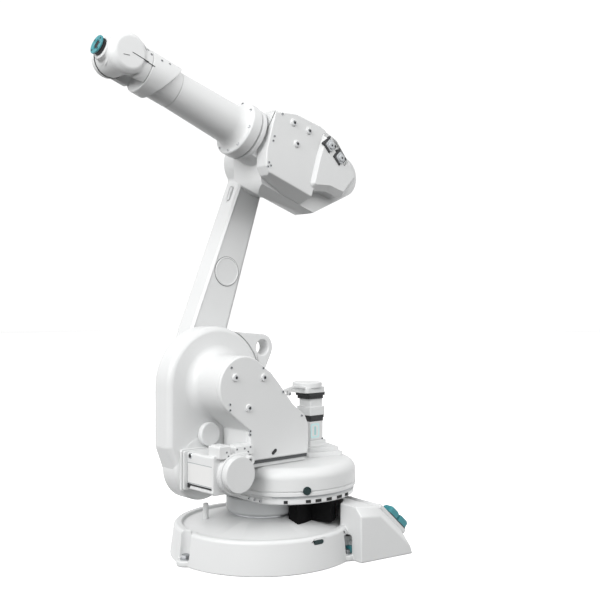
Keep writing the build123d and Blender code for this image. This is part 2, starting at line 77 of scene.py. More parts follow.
turn = radians(VIEW_TURN_DEG)
toward_camera = Vector((sin(turn), cos(turn), 0))
camera_right = Vector((-cos(turn), sin(turn), 0))
camera_place = toward_camera * VIEW_DEPTH + camera_right * VIEW_SIDE + Vector((0, 0, VIEW_HEIGHT))
camera_data = bpy.data.cameras.new("camera")
camera_data.sensor_width = SENSOR_MM
camera_data.lens = FOCAL_PIXELS / FRAME_PIXELS * SENSOR_MM
camera_data.shift_y = (HORIZON_PIXEL - FRAME_PIXELS / 2) / FRAME_PIXELS
camera_data.clip_end = CLIP_END_M
camera = bpy.data.objects.new("camera", camera_data)
camera.location = camera_place * MM
camera.rotation_euler = (pi / 2, 0, pi - turn)
bpy.context.scene.collection.objects.link(camera)
bpy.context.scene.camera = camera
print("camera at", [round(v) for v in camera_place], "mm, lens", round(camera_data.lens, 1), "mm")

# %% [markdown]
# ## Colours and shader nodes
# One function turns an sRGB hex value into the linear colour that Blender's shaders work in. Another
# adds one shader node with its settings and its links, so each material below reads as a short list.

# %% Material helpers
def linear(hex_colour):
    channels = []
    for i in (1, 3, 5):
        c = int(hex_colour[i:i + 2], 16) / 255
        channels.append(c / 12.92 if c <= 0.04045 else ((c + 0.055) / 1.055) ** 2.4)
    return (*channels, 1.0)


def add_node(tree, kind, inputs=None, **settings):
    made = tree.nodes.new(kind)
    for name, value in settings.items():
        setattr(made, name, value)
    for name, value in (inputs or {}).items():
        if isinstance(value, bpy.types.NodeSocket):
            tree.links.new(value, made.inputs[name])
        else:
            made.inputs[name].default_value = value
    return made


def new_material(name, colour, roughness, metallic=0.0, **sockets):
    material = bpy.data.materials.new(name)
    material.use_nodes = True
    shader = material.node_tree.nodes["Principled BSDF"]
    shader.inputs["Base Color"].default_value = linear(colour)
    shader.inputs["Roughness"].default_value = roughness
    shader.inputs["Metallic"].default_value = metallic
    for socket, value in sockets.items():
        shader.inputs[socket.replace("_", " ")].default_value = value
    return material


# Noise seldom leaves the middle of its range, so that middle is what drives the gloss.
CLOUD_SPAN = (0.3, 0.7)
CLOUD_DETAIL, GRAIN_DETAIL, BUMP_STRENGTH = 3.0, 2.0, 0.5


def grained(name, colour, roughness, drift, cloud_mm, grain_mm, depth_mm, gloss, metallic=0.0, **sockets):
    """A material with slow colour drift, uneven gloss and a fine surface grain."""
    material = new_material(name, colour, roughness, metallic, **sockets)
    tree = material.node_tree
    shader = tree.nodes["Principled BSDF"]
    place = add_node(tree, "ShaderNodeTexCoord").outputs["Object"]
    cloud = add_node(tree, "ShaderNodeTexNoise", {"Vector": place, "Scale": 1 / (cloud_mm * MM),
                                                  "Detail": CLOUD_DETAIL})
    mix = add_node(tree, "ShaderNodeMixRGB", {"Fac": cloud.outputs["Fac"], "Color1": linear(drift[0]),
                                              "Color2": linear(drift[1])})
    rough = add_node(tree, "ShaderNodeMapRange", {"Value": cloud.outputs["Fac"], "From Min": CLOUD_SPAN[0],
                                                  "From Max": CLOUD_SPAN[1], "To Min": gloss[0],
                                                  "To Max": gloss[1]})
    fine = add_node(tree, "ShaderNodeTexNoise", {"Vector": place, "Scale": 1 / (grain_mm * MM),
                                                 "Detail": GRAIN_DETAIL})
    bump = add_node(tree, "ShaderNodeBump", {"Height": fine.outputs["Fac"], "Strength": BUMP_STRENGTH,
                                             "Distance": depth_mm * MM})
    tree.links.new(mix.outputs["Color"], shader.inputs["Base Color"])
    tree.links.new(rough.outputs["Result"], shader.inputs["Roughness"])
    tree.links.new(bump.outputs["Normal"], shader.inputs["Normal"])
    return material


# %% [markdown]
# ## Painted castings
# The real housings are cast iron and cast aluminium under a light grey-white epoxy powder coat. Powder
# melts into a skin that is almost smooth, with a faint orange peel, and it gives a soft, broad highlight
# with an IOR of about 1.5. The castings below it are sandy, so the large ones get a deeper, coarser
# grain than the machined covers. The grain is drawn at 3 mm, coarser than the real 1 mm, so that it shows.
# The hub under the turntable is painted a darker grey as painted shade, for the bowl's shadow on it.

# %% Paint materials
PAINT_LIGHT, PAINT_SHADE = "#D9DADA", "#D2D3D3"
EPOXY_IOR = 1.5
CAST_PAINT = grained("cast_powder_coat", PAINT_LIGHT, 0.42, (PAINT_SHADE, PAINT_LIGHT), cloud_mm=160,
                     grain_mm=3.0, depth_mm=0.12, gloss=(0.38, 0.48), IOR=EPOXY_IOR)
COVER_PAINT = grained("cover_powder_coat", PAINT_LIGHT, 0.4, (PAINT_SHADE, PAINT_LIGHT), cloud_mm=200,
                      grain_mm=2.0, depth_mm=0.05, gloss=(0.35, 0.44), IOR=EPOXY_IOR)
# The hub's darker grey is painted shade for the shadow that the bowl casts on it.
HUB_SHADE_PAINT = grained("hub_coat_darkened_as_painted_shade", "#B4B6B7", 0.45, ("#AEB0B1", "#BABCBD"), cloud_mm=160,
                    grain_mm=3.0, depth_mm=0.12, gloss=(0.4, 0.5), IOR=EPOXY_IOR)
MOTOR_PAINT = grained("motor_powder_coat", PAINT_LIGHT, 0.36, (PAINT_SHADE, PAINT_LIGHT), cloud_mm=90,
                      grain_mm=2.0, depth_mm=0.05, gloss=(0.32, 0.42), IOR=EPOXY_IOR)
print("paints made:", len(bpy.data.materials))

# %% [markdown]
# ## Plastics, rubbers, metals and labels
# The caps and plugs are moulded polyamide in teal, slightly matt from the spark-eroded mould, and the
# connectors are black and grey polyamide, with an IOR of about 1.53. Seals are rubber, which scatters light
# and hardly shines. The black seal material is also painted shade in the wrist's gaps, along the wrist
# seam, on the tool flange's side, on the upright motor's necks and in a slot on the cover; a darker grey
# is painted shade in the gaps under the shoulder cover and round the arm plug, the grey polyamide is
# painted shade in the gap under the bowl's foot, and a near-black sheet behind the hub is painted shade
# under the bowl. Screws are zinc plated steel with a dull, slightly uneven reflection, and the hexagon
# sockets in them read almost black, because no light comes back out of them. The label places are plain
# vinyl, a little brighter and smoother than the paint.

# %% Plastics, rubbers and painted shade
NYLON_IOR, SHADE_AND_SEAL_IOR, REAR_SHADE_IOR = 1.53, 1.52, 1.5
TEAL_CAP = grained("teal_cap_polyamide", "#2F8088", 0.46, ("#297780", "#358A92"), cloud_mm=25,
                   grain_mm=1.2, depth_mm=0.04, gloss=(0.4, 0.52), IOR=NYLON_IOR)
TEAL_DARK = grained("dark_teal_polyamide", "#0B2A2B", 0.42, ("#072021", "#092829"), cloud_mm=20,
                    grain_mm=1.2, depth_mm=0.04, gloss=(0.36, 0.46), IOR=NYLON_IOR, Specular_IOR_Level=0.25)
BLACK = grained("black_polyamide", "#232426", 0.5, ("#1E1F21", "#2A2B2E"), cloud_mm=15, grain_mm=1.2,
                depth_mm=0.05, gloss=(0.42, 0.58), IOR=NYLON_IOR)
# Real grey moulding for the connector shells, and painted shade in the gap under the bowl's foot.
MOULDING_GREY_AND_SHADE = grained("grey_moulding_and_painted_shade", "#B4B7B9", 0.5, ("#ACAFB2", "#BCBFC1"), cloud_mm=15,
                        grain_mm=1.2, depth_mm=0.04, gloss=(0.42, 0.55), IOR=NYLON_IOR)
# Real seals and joint lines, and also painted shade in gaps, slots and on the necks and flange side.
SEAL_AND_SHADE = grained("black_seal_and_painted_shade", "#17181A", 0.7, ("#141517", "#1C1D1F"), cloud_mm=12, grain_mm=1.5,
               depth_mm=0.05, gloss=(0.62, 0.78), IOR=SHADE_AND_SEAL_IOR)
# A dark grey of painted shade, for the shadow inside narrow gaps.
GAP_SHADE_GREY = grained("grey_painted_gap_shade", "#4C4E50", 0.7, ("#464849", "#525456"), cloud_mm=12, grain_mm=1.5,
                   depth_mm=0.05, gloss=(0.62, 0.78), IOR=SHADE_AND_SEAL_IOR)
# A near-black sheet of painted shade, for the deep shadow under the bowl behind the hub.
REAR_SHADE_BLACK = grained("near_black_painted_shade", "#070708", 0.85, ("#050506", "#09090A"), cloud_mm=15,
                 grain_mm=2.0, depth_mm=0.08, gloss=(0.68, 0.82), IOR=REAR_SHADE_IOR, Specular_IOR_Level=0.12)
print("with plastics and rubbers:", len(bpy.data.materials))

# %% Metals and labels
VINYL_IOR = 1.46
ZINC = grained("zinc_plated_steel", "#A9ABAD", 0.38, ("#9C9EA1", "#B4B6B8"), cloud_mm=6, grain_mm=0.8,
               depth_mm=0.02, gloss=(0.3, 0.46), metallic=1.0)
TURNED = grained("turned_steel", "#B9BBBD", 0.3, ("#AEB0B2", "#C2C4C6"), cloud_mm=30, grain_mm=0.8,
                 depth_mm=0.02, gloss=(0.26, 0.36), metallic=1.0)
# The near-black recess material is painted shade, in screw sockets, the eye's hole, the skirt's slots and the tool
# flange's holes.
HOLLOW_SHADE = new_material("painted_recess_shade", "#0C0C0D", 0.8)
LABEL = grained("white_vinyl_label", "#DCDCDB", 0.3, ("#DADAD9", "#DEDEDD"), cloud_mm=60, grain_mm=2.0,
                depth_mm=0.01, gloss=(0.26, 0.34), IOR=VINYL_IOR)
LABEL_EDGE = new_material("grey_vinyl_border", "#9FA3A5", 0.35, IOR=VINYL_IOR)
LABEL_TINT = new_material("pale_teal_vinyl_border", "#C4E2E3", 0.35, IOR=VINYL_IOR)
LABEL_MARK = new_material("teal_vinyl_stripe", "#9FCACC", 0.35, IOR=VINYL_IOR)
print("all materials:", len(bpy.data.materials))

# %% [markdown]
# ## Rounded edges on the exact solids
# Cast and painted parts have no sharp edges: the paint alone rounds them by half a millimetre, and the
# castings by 2 to 7 mm. The solids are never changed, so the rounding comes from modifiers on top of
# them: a weld joins the facets, a flat dissolve clears the triangles, a bevel rounds each sharp edge, and
# a small geometry-nodes group then smooths everything but what still meets at a steep angle.

# %% Smoothing group and edge rounding
SMOOTH_ANGLE_DEG = 32.0
WELD_MM = 0.01
FLAT_ANGLE_DEG = 0.4
BEVEL_ANGLE_DEG, BEVEL_SEGMENTS = 28.0, 3


def smoothing_group():
    group = bpy.data.node_groups.new("smooth_below_angle", "GeometryNodeTree")
    group.interface.new_socket("Geometry", in_out="INPUT", socket_type="NodeSocketGeometry")
    group.interface.new_socket("Geometry", in_out="OUTPUT", socket_type="NodeSocketGeometry")
    start = add_node(group, "NodeGroupInput").outputs["Geometry"]
    angle = add_node(group, "GeometryNodeInputMeshEdgeAngle").outputs["Unsigned Angle"]
    steep = add_node(group, "FunctionNodeCompare", {"A": angle, "B": radians(SMOOTH_ANGLE_DEG)},
                     operation="GREATER_THAN")
    faces = add_node(group, "GeometryNodeSetShadeSmooth", {"Geometry": start, "Shade Smooth": True})
    edges = add_node(group, "GeometryNodeSetShadeSmooth", {
        "Geometry": faces.outputs["Geometry"], "Selection": steep.outputs["Result"],
        "Shade Smooth": False}, domain="EDGE")
    add_node(group, "NodeGroupOutput", {"Geometry": edges.outputs["Geometry"]})
    return group


SMOOTHING = smoothing_group()


def round_edges(obj, width_mm, clamp=False):
    weld = obj.modifiers.new("weld", "WELD")
    weld.merge_threshold = WELD_MM * MM
    flat = obj.modifiers.new("flat", "DECIMATE")
    flat.decimate_type = "DISSOLVE"
    flat.angle_limit = radians(FLAT_ANGLE_DEG)
    if width_mm > 0:
        bevel = obj.modifiers.new("bevel", "BEVEL")
        bevel.width = width_mm * MM
        bevel.segments = BEVEL_SEGMENTS
        bevel.limit_method = "ANGLE"
        bevel.angle_limit = radians(BEVEL_ANGLE_DEG)
        bevel.use_clamp_overlap = clamp
        bevel.miter_outer = "MITER_ARC"
    smooth = obj.modifiers.new("smooth", "NODES")
    smooth.node_group = SMOOTHING
    normals = obj.modifiers.new("normals", "WEIGHTED_NORMAL")
    normals.keep_sharp = True


# %% [markdown]
# ## A finish for each solid
# Each solid gets its material and the width of its rounding in millimetres. The arm house is the one
# casting with short edges beside long ones, so its rounding is kept from running past them.

# %% Finish and rounding of each solid
CAST, COVER, MOTOR = CAST_PAINT, COVER_PAINT, MOTOR_PAINT
FINISH = {
    "base_casting": (CAST, 4), "bearing_race": (TURNED, 1), "stop_pin": (CAST, 2.5),
    "oval_plug": (TEAL_DARK, 1), "socket_panel": (CAST, 1.5), "side_socket": (CAST, 1.5),
    "cable_socket_1": (TEAL_CAP, 4), "cable_socket_2": (TEAL_CAP, 4), "cable_socket_3": (TEAL_CAP, 4),
    "turntable_hub": (HUB_SHADE_PAINT, 4), "turntable_skirt": (CAST, 2.5), "turntable_bowl": (CAST, 6),
    "bowl_plug": (TEAL_DARK, 1), "frame_plate": (CAST, 5), "frame_drum": (CAST, 5),
    "cover_plate": (COVER, 1.5), "plate_boss": (CAST, 5), "motor_flange": (MOTOR, 1.5),
    "motor_box": (MOTOR, 3), "motor_ring": (MOTOR, 2), "motor_cap": (MOTOR, 2),
    "upright_foot": (MOTOR, 3), "upright_body": (MOTOR, 2), "upright_flange": (MOTOR, 2),
    "upright_neck": (SEAL_AND_SHADE, 1), "upright_plate": (MOTOR, 2), "lower_arm": (CAST, 7),
    "shoulder_hub": (CAST, 3), "arm_plug": (COVER, 1), "house_casting": (CAST, 6),
    "elbow_drum": (CAST, 5), "house_cover": (COVER, 3), "house_collar": (CAST, 2),
    "connector_block": (BLACK, 2), "forearm_flange": (CAST, 2), "forearm_tube": (CAST, 0),
    "wrist_casting": (CAST, 3), "wrist_cheek_left": (CAST, 5), "wrist_cheek_right": (CAST, 5),
    "wrist_tilt": (CAST, 4), "tool_flange": (TEAL_CAP, 1),
}
for name, (material, width) in FINISH.items():
    solid = nodes[name]
    solid.data.materials.clear()
    solid.data.materials.append(material)
    round_edges(solid, width, clamp=name == "house_casting")
print("solids finished:", len(FINISH), "of", len(nodes))

# %% [markdown]
# ## Places on the links
# A screw or a label sits on the link that carries it, so its place is written in that link's own frame
# and not in the room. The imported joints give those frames: the shoulder, the elbow and the line of the
# forearm. In each of them X runs along or ahead, Y is the arm's left and Z is up.

# %% Link frames
ARM_LEFT = Vector((0, 1, 0))
BASE_TURN_DEG = -5.0
joints = {joint["name"]: joint for joint in frame["joints"]}


def joint_middle(name):
    """A joint's place in the arm's middle plane."""
    x, _, z = joints[name]["pos_m"]
    return Vector((x, 0, z)) / MM


def box_mm(name):
    """The low and the high corner of a solid's box."""
    return [Vector(corner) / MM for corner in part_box(name)]


def box_middle(name):
    low, high = box_mm(name)
    return (low + high) / 2


def place_at(origin, across, outward):
    z_axis = Vector(outward).normalized()
    x_axis = Vector(across) - z_axis * z_axis.dot(Vector(across))
    x_axis.normalize()
    axes = Matrix((x_axis, z_axis.cross(x_axis), z_axis)).transposed().to_4x4()
    return Matrix.Translation(origin) @ axes


ROOM = Matrix.Identity(4)
BASE = Matrix.Rotation(radians(BASE_TURN_DEG), 4, "Z")
shoulder, elbow = joint_middle("axis_2"), joint_middle("axis_3")
forearm_line = Vector(joints["axis_4"]["axis"])
arm_line = (elbow - shoulder).normalized()
LOWER = place_at(shoulder, ARM_LEFT.cross(arm_line), arm_line)
UPPER = place_at(elbow, forearm_line, forearm_line.cross(ARM_LEFT))
SHOULDER = Matrix.Translation(shoulder)
motor_middle = box_middle("motor_cap")
MOTOR_AXIS = Matrix.Translation((motor_middle.x, 0, motor_middle.z))
print("elbow at", [round(v, 1) for v in elbow], "motor axis at", [round(v, 1) for v in motor_middle])

# %% [markdown]
# ## Two ways to make a shape
# Almost everything bolted to this robot is either turned on a lathe or cut from a plate, so two builders
# are enough. One sweeps a profile of radius and height about an axis, and can give a row flat sides, as
# a hexagon socket has. The other gives a flat outline a thickness. Both write into a mesh that many
# pieces of one kind share, so forty screws are one object. A spot is a place on one side of a link, with
# X across the view from that side and Z straight out of it.

# %% Turned and extruded shapes
SIDES = {"near": ((-1, 0, 0), (0, 1, 0)), "far": ((1, 0, 0), (0, -1, 0)), "front": ((0, 1, 0), (1, 0, 0)),
         "top": ((1, 0, 0), (0, 0, 1))}
CORNER_STEPS = 5


def spot(link, side, x, y, z, roll_deg=0.0):
    across, outward = SIDES[side]
    return link @ place_at(Vector((x, y, z)), across, outward) @ Matrix.Rotation(radians(roll_deg), 4, "Z")


def turned(mesh, place, profile, turns, colour=0, start_deg=0.0, sweep_deg=360.0):
    """Sweep rows of (radius, height) or (radius, height, flat sides) about the place's Z axis."""
    whole = sweep_deg == 360.0
    steps = turns if whole else turns + 1
    rows = []
    for radius, height, *flats in profile:
        if radius == 0:
            rows.append([mesh.verts.new(place @ Vector((0, 0, height)) * MM)])
            continue
        row = []
        for step in range(steps):
            angle = radians(start_deg + sweep_deg * step / turns)
            reach = radius
            if flats:
                part = 2 * pi / flats[0]
                reach *= cos(part / 2) / cos(angle % part - part / 2)
            row.append(mesh.verts.new(place @ Vector((reach * cos(angle), reach * sin(angle), height)) * MM))
        rows.append(row)
    for low, high in zip(rows, rows[1:]):
        for step in range(turns):
            after = (step + 1) % steps
            corners = [low[step % len(low)], low[after % len(low)],
                       high[after % len(high)], high[step % len(high)]]
            mesh.faces.new(list(dict.fromkeys(corners))).material_index = colour
    if not whole:
        for step in (0, -1):
            mesh.faces.new([row[step] for row in rows]).material_index = colour


def extruded(mesh, place, outline, low, high, colour=0):
    """Give a flat outline a thickness along the place's Z axis."""
    bottom = [mesh.verts.new(place @ Vector((x, y, low)) * MM) for x, y in outline]
    top = [mesh.verts.new(place @ Vector((x, y, high)) * MM) for x, y in outline]
    faces = [mesh.faces.new(bottom[::-1]), mesh.faces.new(top)]
    for i in range(len(outline)):
        j = (i + 1) % len(outline)
        faces.append(mesh.faces.new((bottom[i], bottom[j], top[j], top[i])))
    for face in faces:
        face.material_index = colour


def rounded(width, height, corner, x=0.0, y=0.0):
    """A rectangle with round corners, centred on x and y."""
    points = []
    for quarter, (sign_x, sign_y) in enumerate(((1, 1), (-1, 1), (-1, -1), (1, -1))):
        centre_x, centre_y = sign_x * (width / 2 - corner), sign_y * (height / 2 - corner)
        for step in range(CORNER_STEPS + 1):
            angle = pi / 2 * (quarter + step / CORNER_STEPS)
            points.append((x + centre_x + corner * cos(angle), y + centre_y + corner * sin(angle)))
    return points


def quarter_arc(width, height, steps):
    """A hollow quarter ellipse from (0, height) to (width, 0)."""
    angles = [pi / 2 * i / steps for i in range(steps + 1)]
    return [(width * (1 - cos(angle)), height * (1 - sin(angle))) for angle in angles]


def disc(radius, low, high):
    return [(0, low), (radius, low), (radius, high), (0, high)]


def ring_section(inner, outer, low, high):
    return [(inner, low), (outer, low), (outer, high), (inner, high), (inner, low)]


def add_piece(name, body, materials, mesh, round_mm=0.0, replaces=()):
    bmesh.ops.recalc_face_normals(mesh, faces=mesh.faces)
    data = bpy.data.meshes.new(name)
    mesh.to_mesh(data)
    mesh.free()
    for material in materials:
        data.materials.append(material)
    piece = bpy.data.objects.new(name, data)
    bpy.context.scene.collection.objects.link(piece)
    round_edges(piece, round_mm, clamp=True)
    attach(piece, body)
    if replaces:
        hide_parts(*replaces)
    print(name, "faces:", len(data.polygons))
    return piece


def turned_piece(name, body, slot, material, place, profile, turns, round_mm=0.0, replaces=(), **sweep):
    """A piece that is one turned shape of one material."""
    mesh = bmesh.new()
    turned(mesh, place, profile, turns, **sweep)
    return add_piece(name, body, (material,), mesh, round_mm, replaces)


# %% [markdown]
# ## Socket head screws
# The covers and flanges are held by zinc plated socket head screws. What the eye reads from two metres
# is a small grey ring with a black dot, so the hexagon socket matters more than the thread, which is
# left out. The head has a turned chamfer, and the socket's walls and floor get the dark material. The
# table gives each kind's head radius and how far the head stands proud.

# %% Screws
HEXAGON = 6
SCREW_TURNS, SCREW_SINK = 24, 2.0
SOCKET_SHARE, CHAMFER_SHARE, SOCKET_FLOOR_SHARE = 0.68, 0.14, 0.25
HEADS = {"boss": (6.5, 1.5), "cover edge": (4.0, 2.0), "motor front": (8.5, 1.2), "connector": (3.2, 1.0),
         "skirt": (4.2, 1.0), "upright": (4.2, 1.6), "bracket": (4.0, 1.6), "house edge": (3.6, 2.0),
         "flange": (5.0, 3.0), "wrist": (3.6, 1.6), "panel": (4.5, 2.5), "gearbox": (4.5, 3.0)}


def screw(mesh, place, radius, height):
    """A socket head screw: material 0 is the head and material 1 the socket."""
    edge, socket = radius * CHAMFER_SHARE, radius * SOCKET_SHARE
    turned(mesh, place, [(0, -SCREW_SINK), (radius, -SCREW_SINK), (radius, height - edge),
                         (radius - edge, height), (socket, height, HEXAGON)], turns=SCREW_TURNS)
    floor_height = height * SOCKET_FLOOR_SHARE
    turned(mesh, place, [(socket, height, HEXAGON), (socket, floor_height, HEXAGON), (0, floor_height)],
           turns=SCREW_TURNS, colour=1)


def screw_set(name, body, kind, places):
    mesh = bmesh.new()
    for place in places:
        screw(mesh, place, *HEADS[kind])
    return add_piece(name, body, (ZINC, HOLLOW_SHADE), mesh)


# %% [markdown]
# ## The cover beside the shoulder
# A machined cover closes the body below the shoulder. Three raised bosses carry large screws, smaller
# screws run round its edge, some in pairs, and the gap between its lower edge and the turntable holds a
# dark grey strip of painted shade. A dark slanted slot near its lower edge is painted shade as well.
# Places are given from the shoulder axis.

# %% Cover screws, painted shade in a slot and in the gap
COVER_FACE, COVER_BOSS_STAND = 103.0, 5.0
BOSS_SPOTS = [(32, 27.5), (-67, 22.5), (-14, -57.5)]
EDGE_SPOTS = [(45, 54.5), (-65, 48.5), (-137, -21.5), (50, -43.5), (50, -58.5), (-19, -120.5),
              (-19, -130.5), (-208, -93.5)]
screw_set("cover_boss_screws", "frame", "boss",
          [spot(SHOULDER, "near", x, COVER_FACE + COVER_BOSS_STAND, z) for x, z in BOSS_SPOTS])
screw_set("cover_edge_screws", "frame", "cover edge",
          [spot(SHOULDER, "near", x, COVER_FACE, z) for x, z in EDGE_SPOTS])

# A dark slanted slot near the cover's lower edge is drawn in the black seal material as painted shade.
COVER_SLOT_X, COVER_SLOT_Z, COVER_SLOT_TURN_DEG = -105, -185.5, 38.0
COVER_SLOT_RIM, COVER_SLOT_PAD = rounded(20, 9, 4.5), rounded(15, 5, 2.5)
cover_slot_place = spot(SHOULDER, "near", COVER_SLOT_X, COVER_FACE, COVER_SLOT_Z, COVER_SLOT_TURN_DEG)
mesh = bmesh.new()
extruded(mesh, cover_slot_place, COVER_SLOT_RIM, -2, 2.0)
extruded(mesh, cover_slot_place, COVER_SLOT_PAD, 1.0, 2.3)
add_piece("cover_slot_shade", "frame", (SEAL_AND_SHADE,), mesh, 0.8)

# A dark grey strip in the gap under the cover's lower edge is painted shade.
GAP_HEIGHT, GAP_CORNER, GAP_SETBACK, GAP_OVERRUN = 10.0, 2, 12, 2
GAP_BACK, GAP_FRONT = -3, 5.0
cover_low = box_mm("cover_plate")[0]
gap_start, gap_end = box_mm("motor_box")[0].x, cover_low.x + GAP_OVERRUN
gap_place = spot(ROOM, "near", (gap_start + gap_end) / 2, COVER_FACE - GAP_SETBACK, cover_low.z - GAP_HEIGHT / 2)
mesh = bmesh.new()
extruded(mesh, gap_place, rounded(abs(gap_start - gap_end), GAP_HEIGHT, GAP_CORNER), GAP_BACK, GAP_FRONT)
add_piece("cover_gap_shade", "frame", (GAP_SHADE_GREY,), mesh, 1.0)

# %% [markdown]
# ## The neck of the drum and the motor seat
# The drum grows out of the side plate through a cast fillet, and the motor seat is a round swelling on
# the same casting. Both are turned shapes, and a quarter arc worked out in a loop gives each its round.

# %% Cast fillet and motor seat
PLATE_FACE = -18.6
LATHE_TURNS = 96
DRUM_RADIUS, NECK_FILLET, NECK_STEPS = 84.0, 26.0, 8
NECK_SINK, NECK_INNER = 2, DRUM_RADIUS - 4
fillet = [(DRUM_RADIUS + out, rise) for out, rise in quarter_arc(NECK_FILLET, NECK_FILLET, NECK_STEPS)]
neck = ([(NECK_INNER, NECK_FILLET)] + fillet
        + [(DRUM_RADIUS + NECK_FILLET, -NECK_SINK), (NECK_INNER, -NECK_SINK), (NECK_INNER, NECK_FILLET)])
turned_piece("drum_fillet", "frame", "white_paint", CAST_PAINT, spot(SHOULDER, "near", 0, PLATE_FACE, 0),
             neck, LATHE_TURNS)

SEAT_RADIUS, SEAT_EDGE, SEAT_STEPS = 92.0, 12.0, 6
SEAT_STAND, SEAT_DEPTH, SEAT_CHAMFER = 1, 68, 5
seat_edge = [(SEAT_RADIUS - inset, SEAT_STAND - drop)
             for inset, drop in quarter_arc(SEAT_EDGE, SEAT_EDGE, SEAT_STEPS)]
seat = ([(0, -SEAT_DEPTH), (SEAT_RADIUS - SEAT_CHAMFER, -SEAT_DEPTH), (SEAT_RADIUS, SEAT_CHAMFER - SEAT_DEPTH)]
        + seat_edge + [(0, SEAT_STAND)])
turned_piece("motor_seat", "frame", "white_paint", CAST_PAINT, spot(MOTOR_AXIS, "near", 0, PLATE_FACE, 0),
             seat, LATHE_TURNS)

# %% [markdown]
# ## The shoulder motor
# A square servo motor stands out of the motor seat. Its painted housing has a stepped mounting flange, a
# thin rail below the label, two connector boxes on top, and a round encoder cover on its end. The label
# place stays bare: a brighter vinyl rectangle with a thin grey border. Two faces in one plane would
# flicker black, so the flange and the end band stop a little short of the box's ends or a little past.

# %% Motor housing
BOX_FRONT, BOX_REAR, BOX_HALF, BOX_CORNER = 64.0, 51.0, 50.0, 7
FLANGE_END, BOX_END = -10.6, 114.0
LIP_CORNER = 6
FLANGE_WIDER, FLANGE_TALLER, FLANGE_BACK, FLANGE_INSET, FLANGE_THICK = 20, 6, 2, 1, 8
BAND_LARGER, BAND_WIDTH, BAND_PROUD = 4, 7, 0.8
box_width, box_height, box_shift = BOX_FRONT + BOX_REAR, 2 * BOX_HALF, (BOX_REAR - BOX_FRONT) / 2
motor_side = spot(MOTOR_AXIS, "near", 0, 0, 0)
mesh = bmesh.new()
extruded(mesh, motor_side, rounded(box_width, box_height, BOX_CORNER, x=box_shift), FLANGE_END, BOX_END)
extruded(mesh, motor_side,
         rounded(box_width + FLANGE_WIDER, box_height + FLANGE_TALLER, LIP_CORNER, x=box_shift - FLANGE_BACK),
         FLANGE_END + FLANGE_INSET, FLANGE_END + FLANGE_THICK)
extruded(mesh, motor_side,
         rounded(box_width + BAND_LARGER, box_height + BAND_LARGER, LIP_CORNER, x=box_shift),
         BOX_END - BAND_WIDTH, BOX_END + BAND_PROUD)
add_piece("motor_housing", "frame", (MOTOR_PAINT,), mesh, 1.6, replaces=("motor_box",))

# %% Motor connector boxes
# Each box is given by its X, Y and Z spans from the motor's axis.
CONNECTOR_BOXES = [((18, 56), (80, 128), (44, 76)), ((-72, -8), (78, 113), (44, 69))]
CONNECTOR_CORNER, TOP_INSET, TOP_SINK, TOP_PROUD = 4, 4, 2, 3
motor_top = spot(MOTOR_AXIS, "top", 0, 0, 0)
mesh = bmesh.new()
for (x_low, x_high), (y_low, y_high), (z_low, z_high) in CONNECTOR_BOXES:
    x, y, z = (x_low + x_high) / 2, (y_low + y_high) / 2, (z_low + z_high) / 2
    extruded(mesh, motor_side, rounded(x_high - x_low, z_high - z_low, CONNECTOR_CORNER, x=-x, y=z), y_low, y_high)
    extruded(mesh, motor_top,
             rounded(x_high - x_low - 2 * TOP_INSET, y_high - y_low - 2 * TOP_INSET, CONNECTOR_CORNER, x=x, y=y),
             z_high - TOP_SINK, z_high + TOP_PROUD)
add_piece("motor_connectors", "frame", (MOTOR_PAINT,), mesh, 1.5)

# %% Motor label place, joint line, rail and screws
# The label's layers, from the border up: width, height, corner, back and front.
MOTOR_LABEL = [(112, 56, 3, 0, 0.7), (108, 52, 2.5, 0.2, 0.9)]


def label_layers(mesh, place, layers, x=0.0, y=0.0):
    for colour, (width, height, corner, back, face) in enumerate(layers):
        extruded(mesh, place, rounded(width, height, corner, x=x, y=y), back, face, colour)


motor_front = spot(MOTOR_AXIS, "front", BOX_FRONT, 0, 0)
mesh = bmesh.new()
label_layers(mesh, motor_front, MOTOR_LABEL, x=53, y=-4)
add_piece("motor_label_place", "frame", (LABEL_EDGE, LABEL), mesh)

JOINT_LINE, JOINT_PLUG = rounded(118, 5, 1, x=52, y=-36), rounded(14, 12, 2, x=4, y=-39)
RAIL = rounded(104, 6, 2, x=64, y=-43)
mesh = bmesh.new()
extruded(mesh, motor_front, JOINT_LINE, -1, 0.6)
extruded(mesh, motor_front, JOINT_PLUG, -1, 1.2)
add_piece("motor_joint_line", "frame", (SEAL_AND_SHADE,), mesh)
mesh = bmesh.new()
extruded(mesh, motor_front, RAIL, -1, 4)
add_piece("motor_rail", "frame", (MOTOR_PAINT,), mesh, 1.0)

FRONT_SCREW_Y, FRONT_SCREW_Z = 9.5, 41.0
CONNECTOR_SCREWS = [(32, 128, 61), (26, 128, 50), (-14, 113, 62), (-40, 113, 62), (-52, 113, 52), (-60, 113, 64)]
screw_set("motor_front_screw", "frame", "motor front",
          [spot(MOTOR_AXIS, "front", BOX_FRONT, FRONT_SCREW_Y, FRONT_SCREW_Z)])
screw_set("connector_screws", "frame", "connector",
          [spot(MOTOR_AXIS, "near", x, y, z) for x, y, z in CONNECTOR_SCREWS])

# %% [markdown]
# ## The encoder cover
# The end of the motor is a turned ring, a moulded cap and one lifting eye. The eye is a ring with a real
# hole, because the dark hole is what the photograph shows.

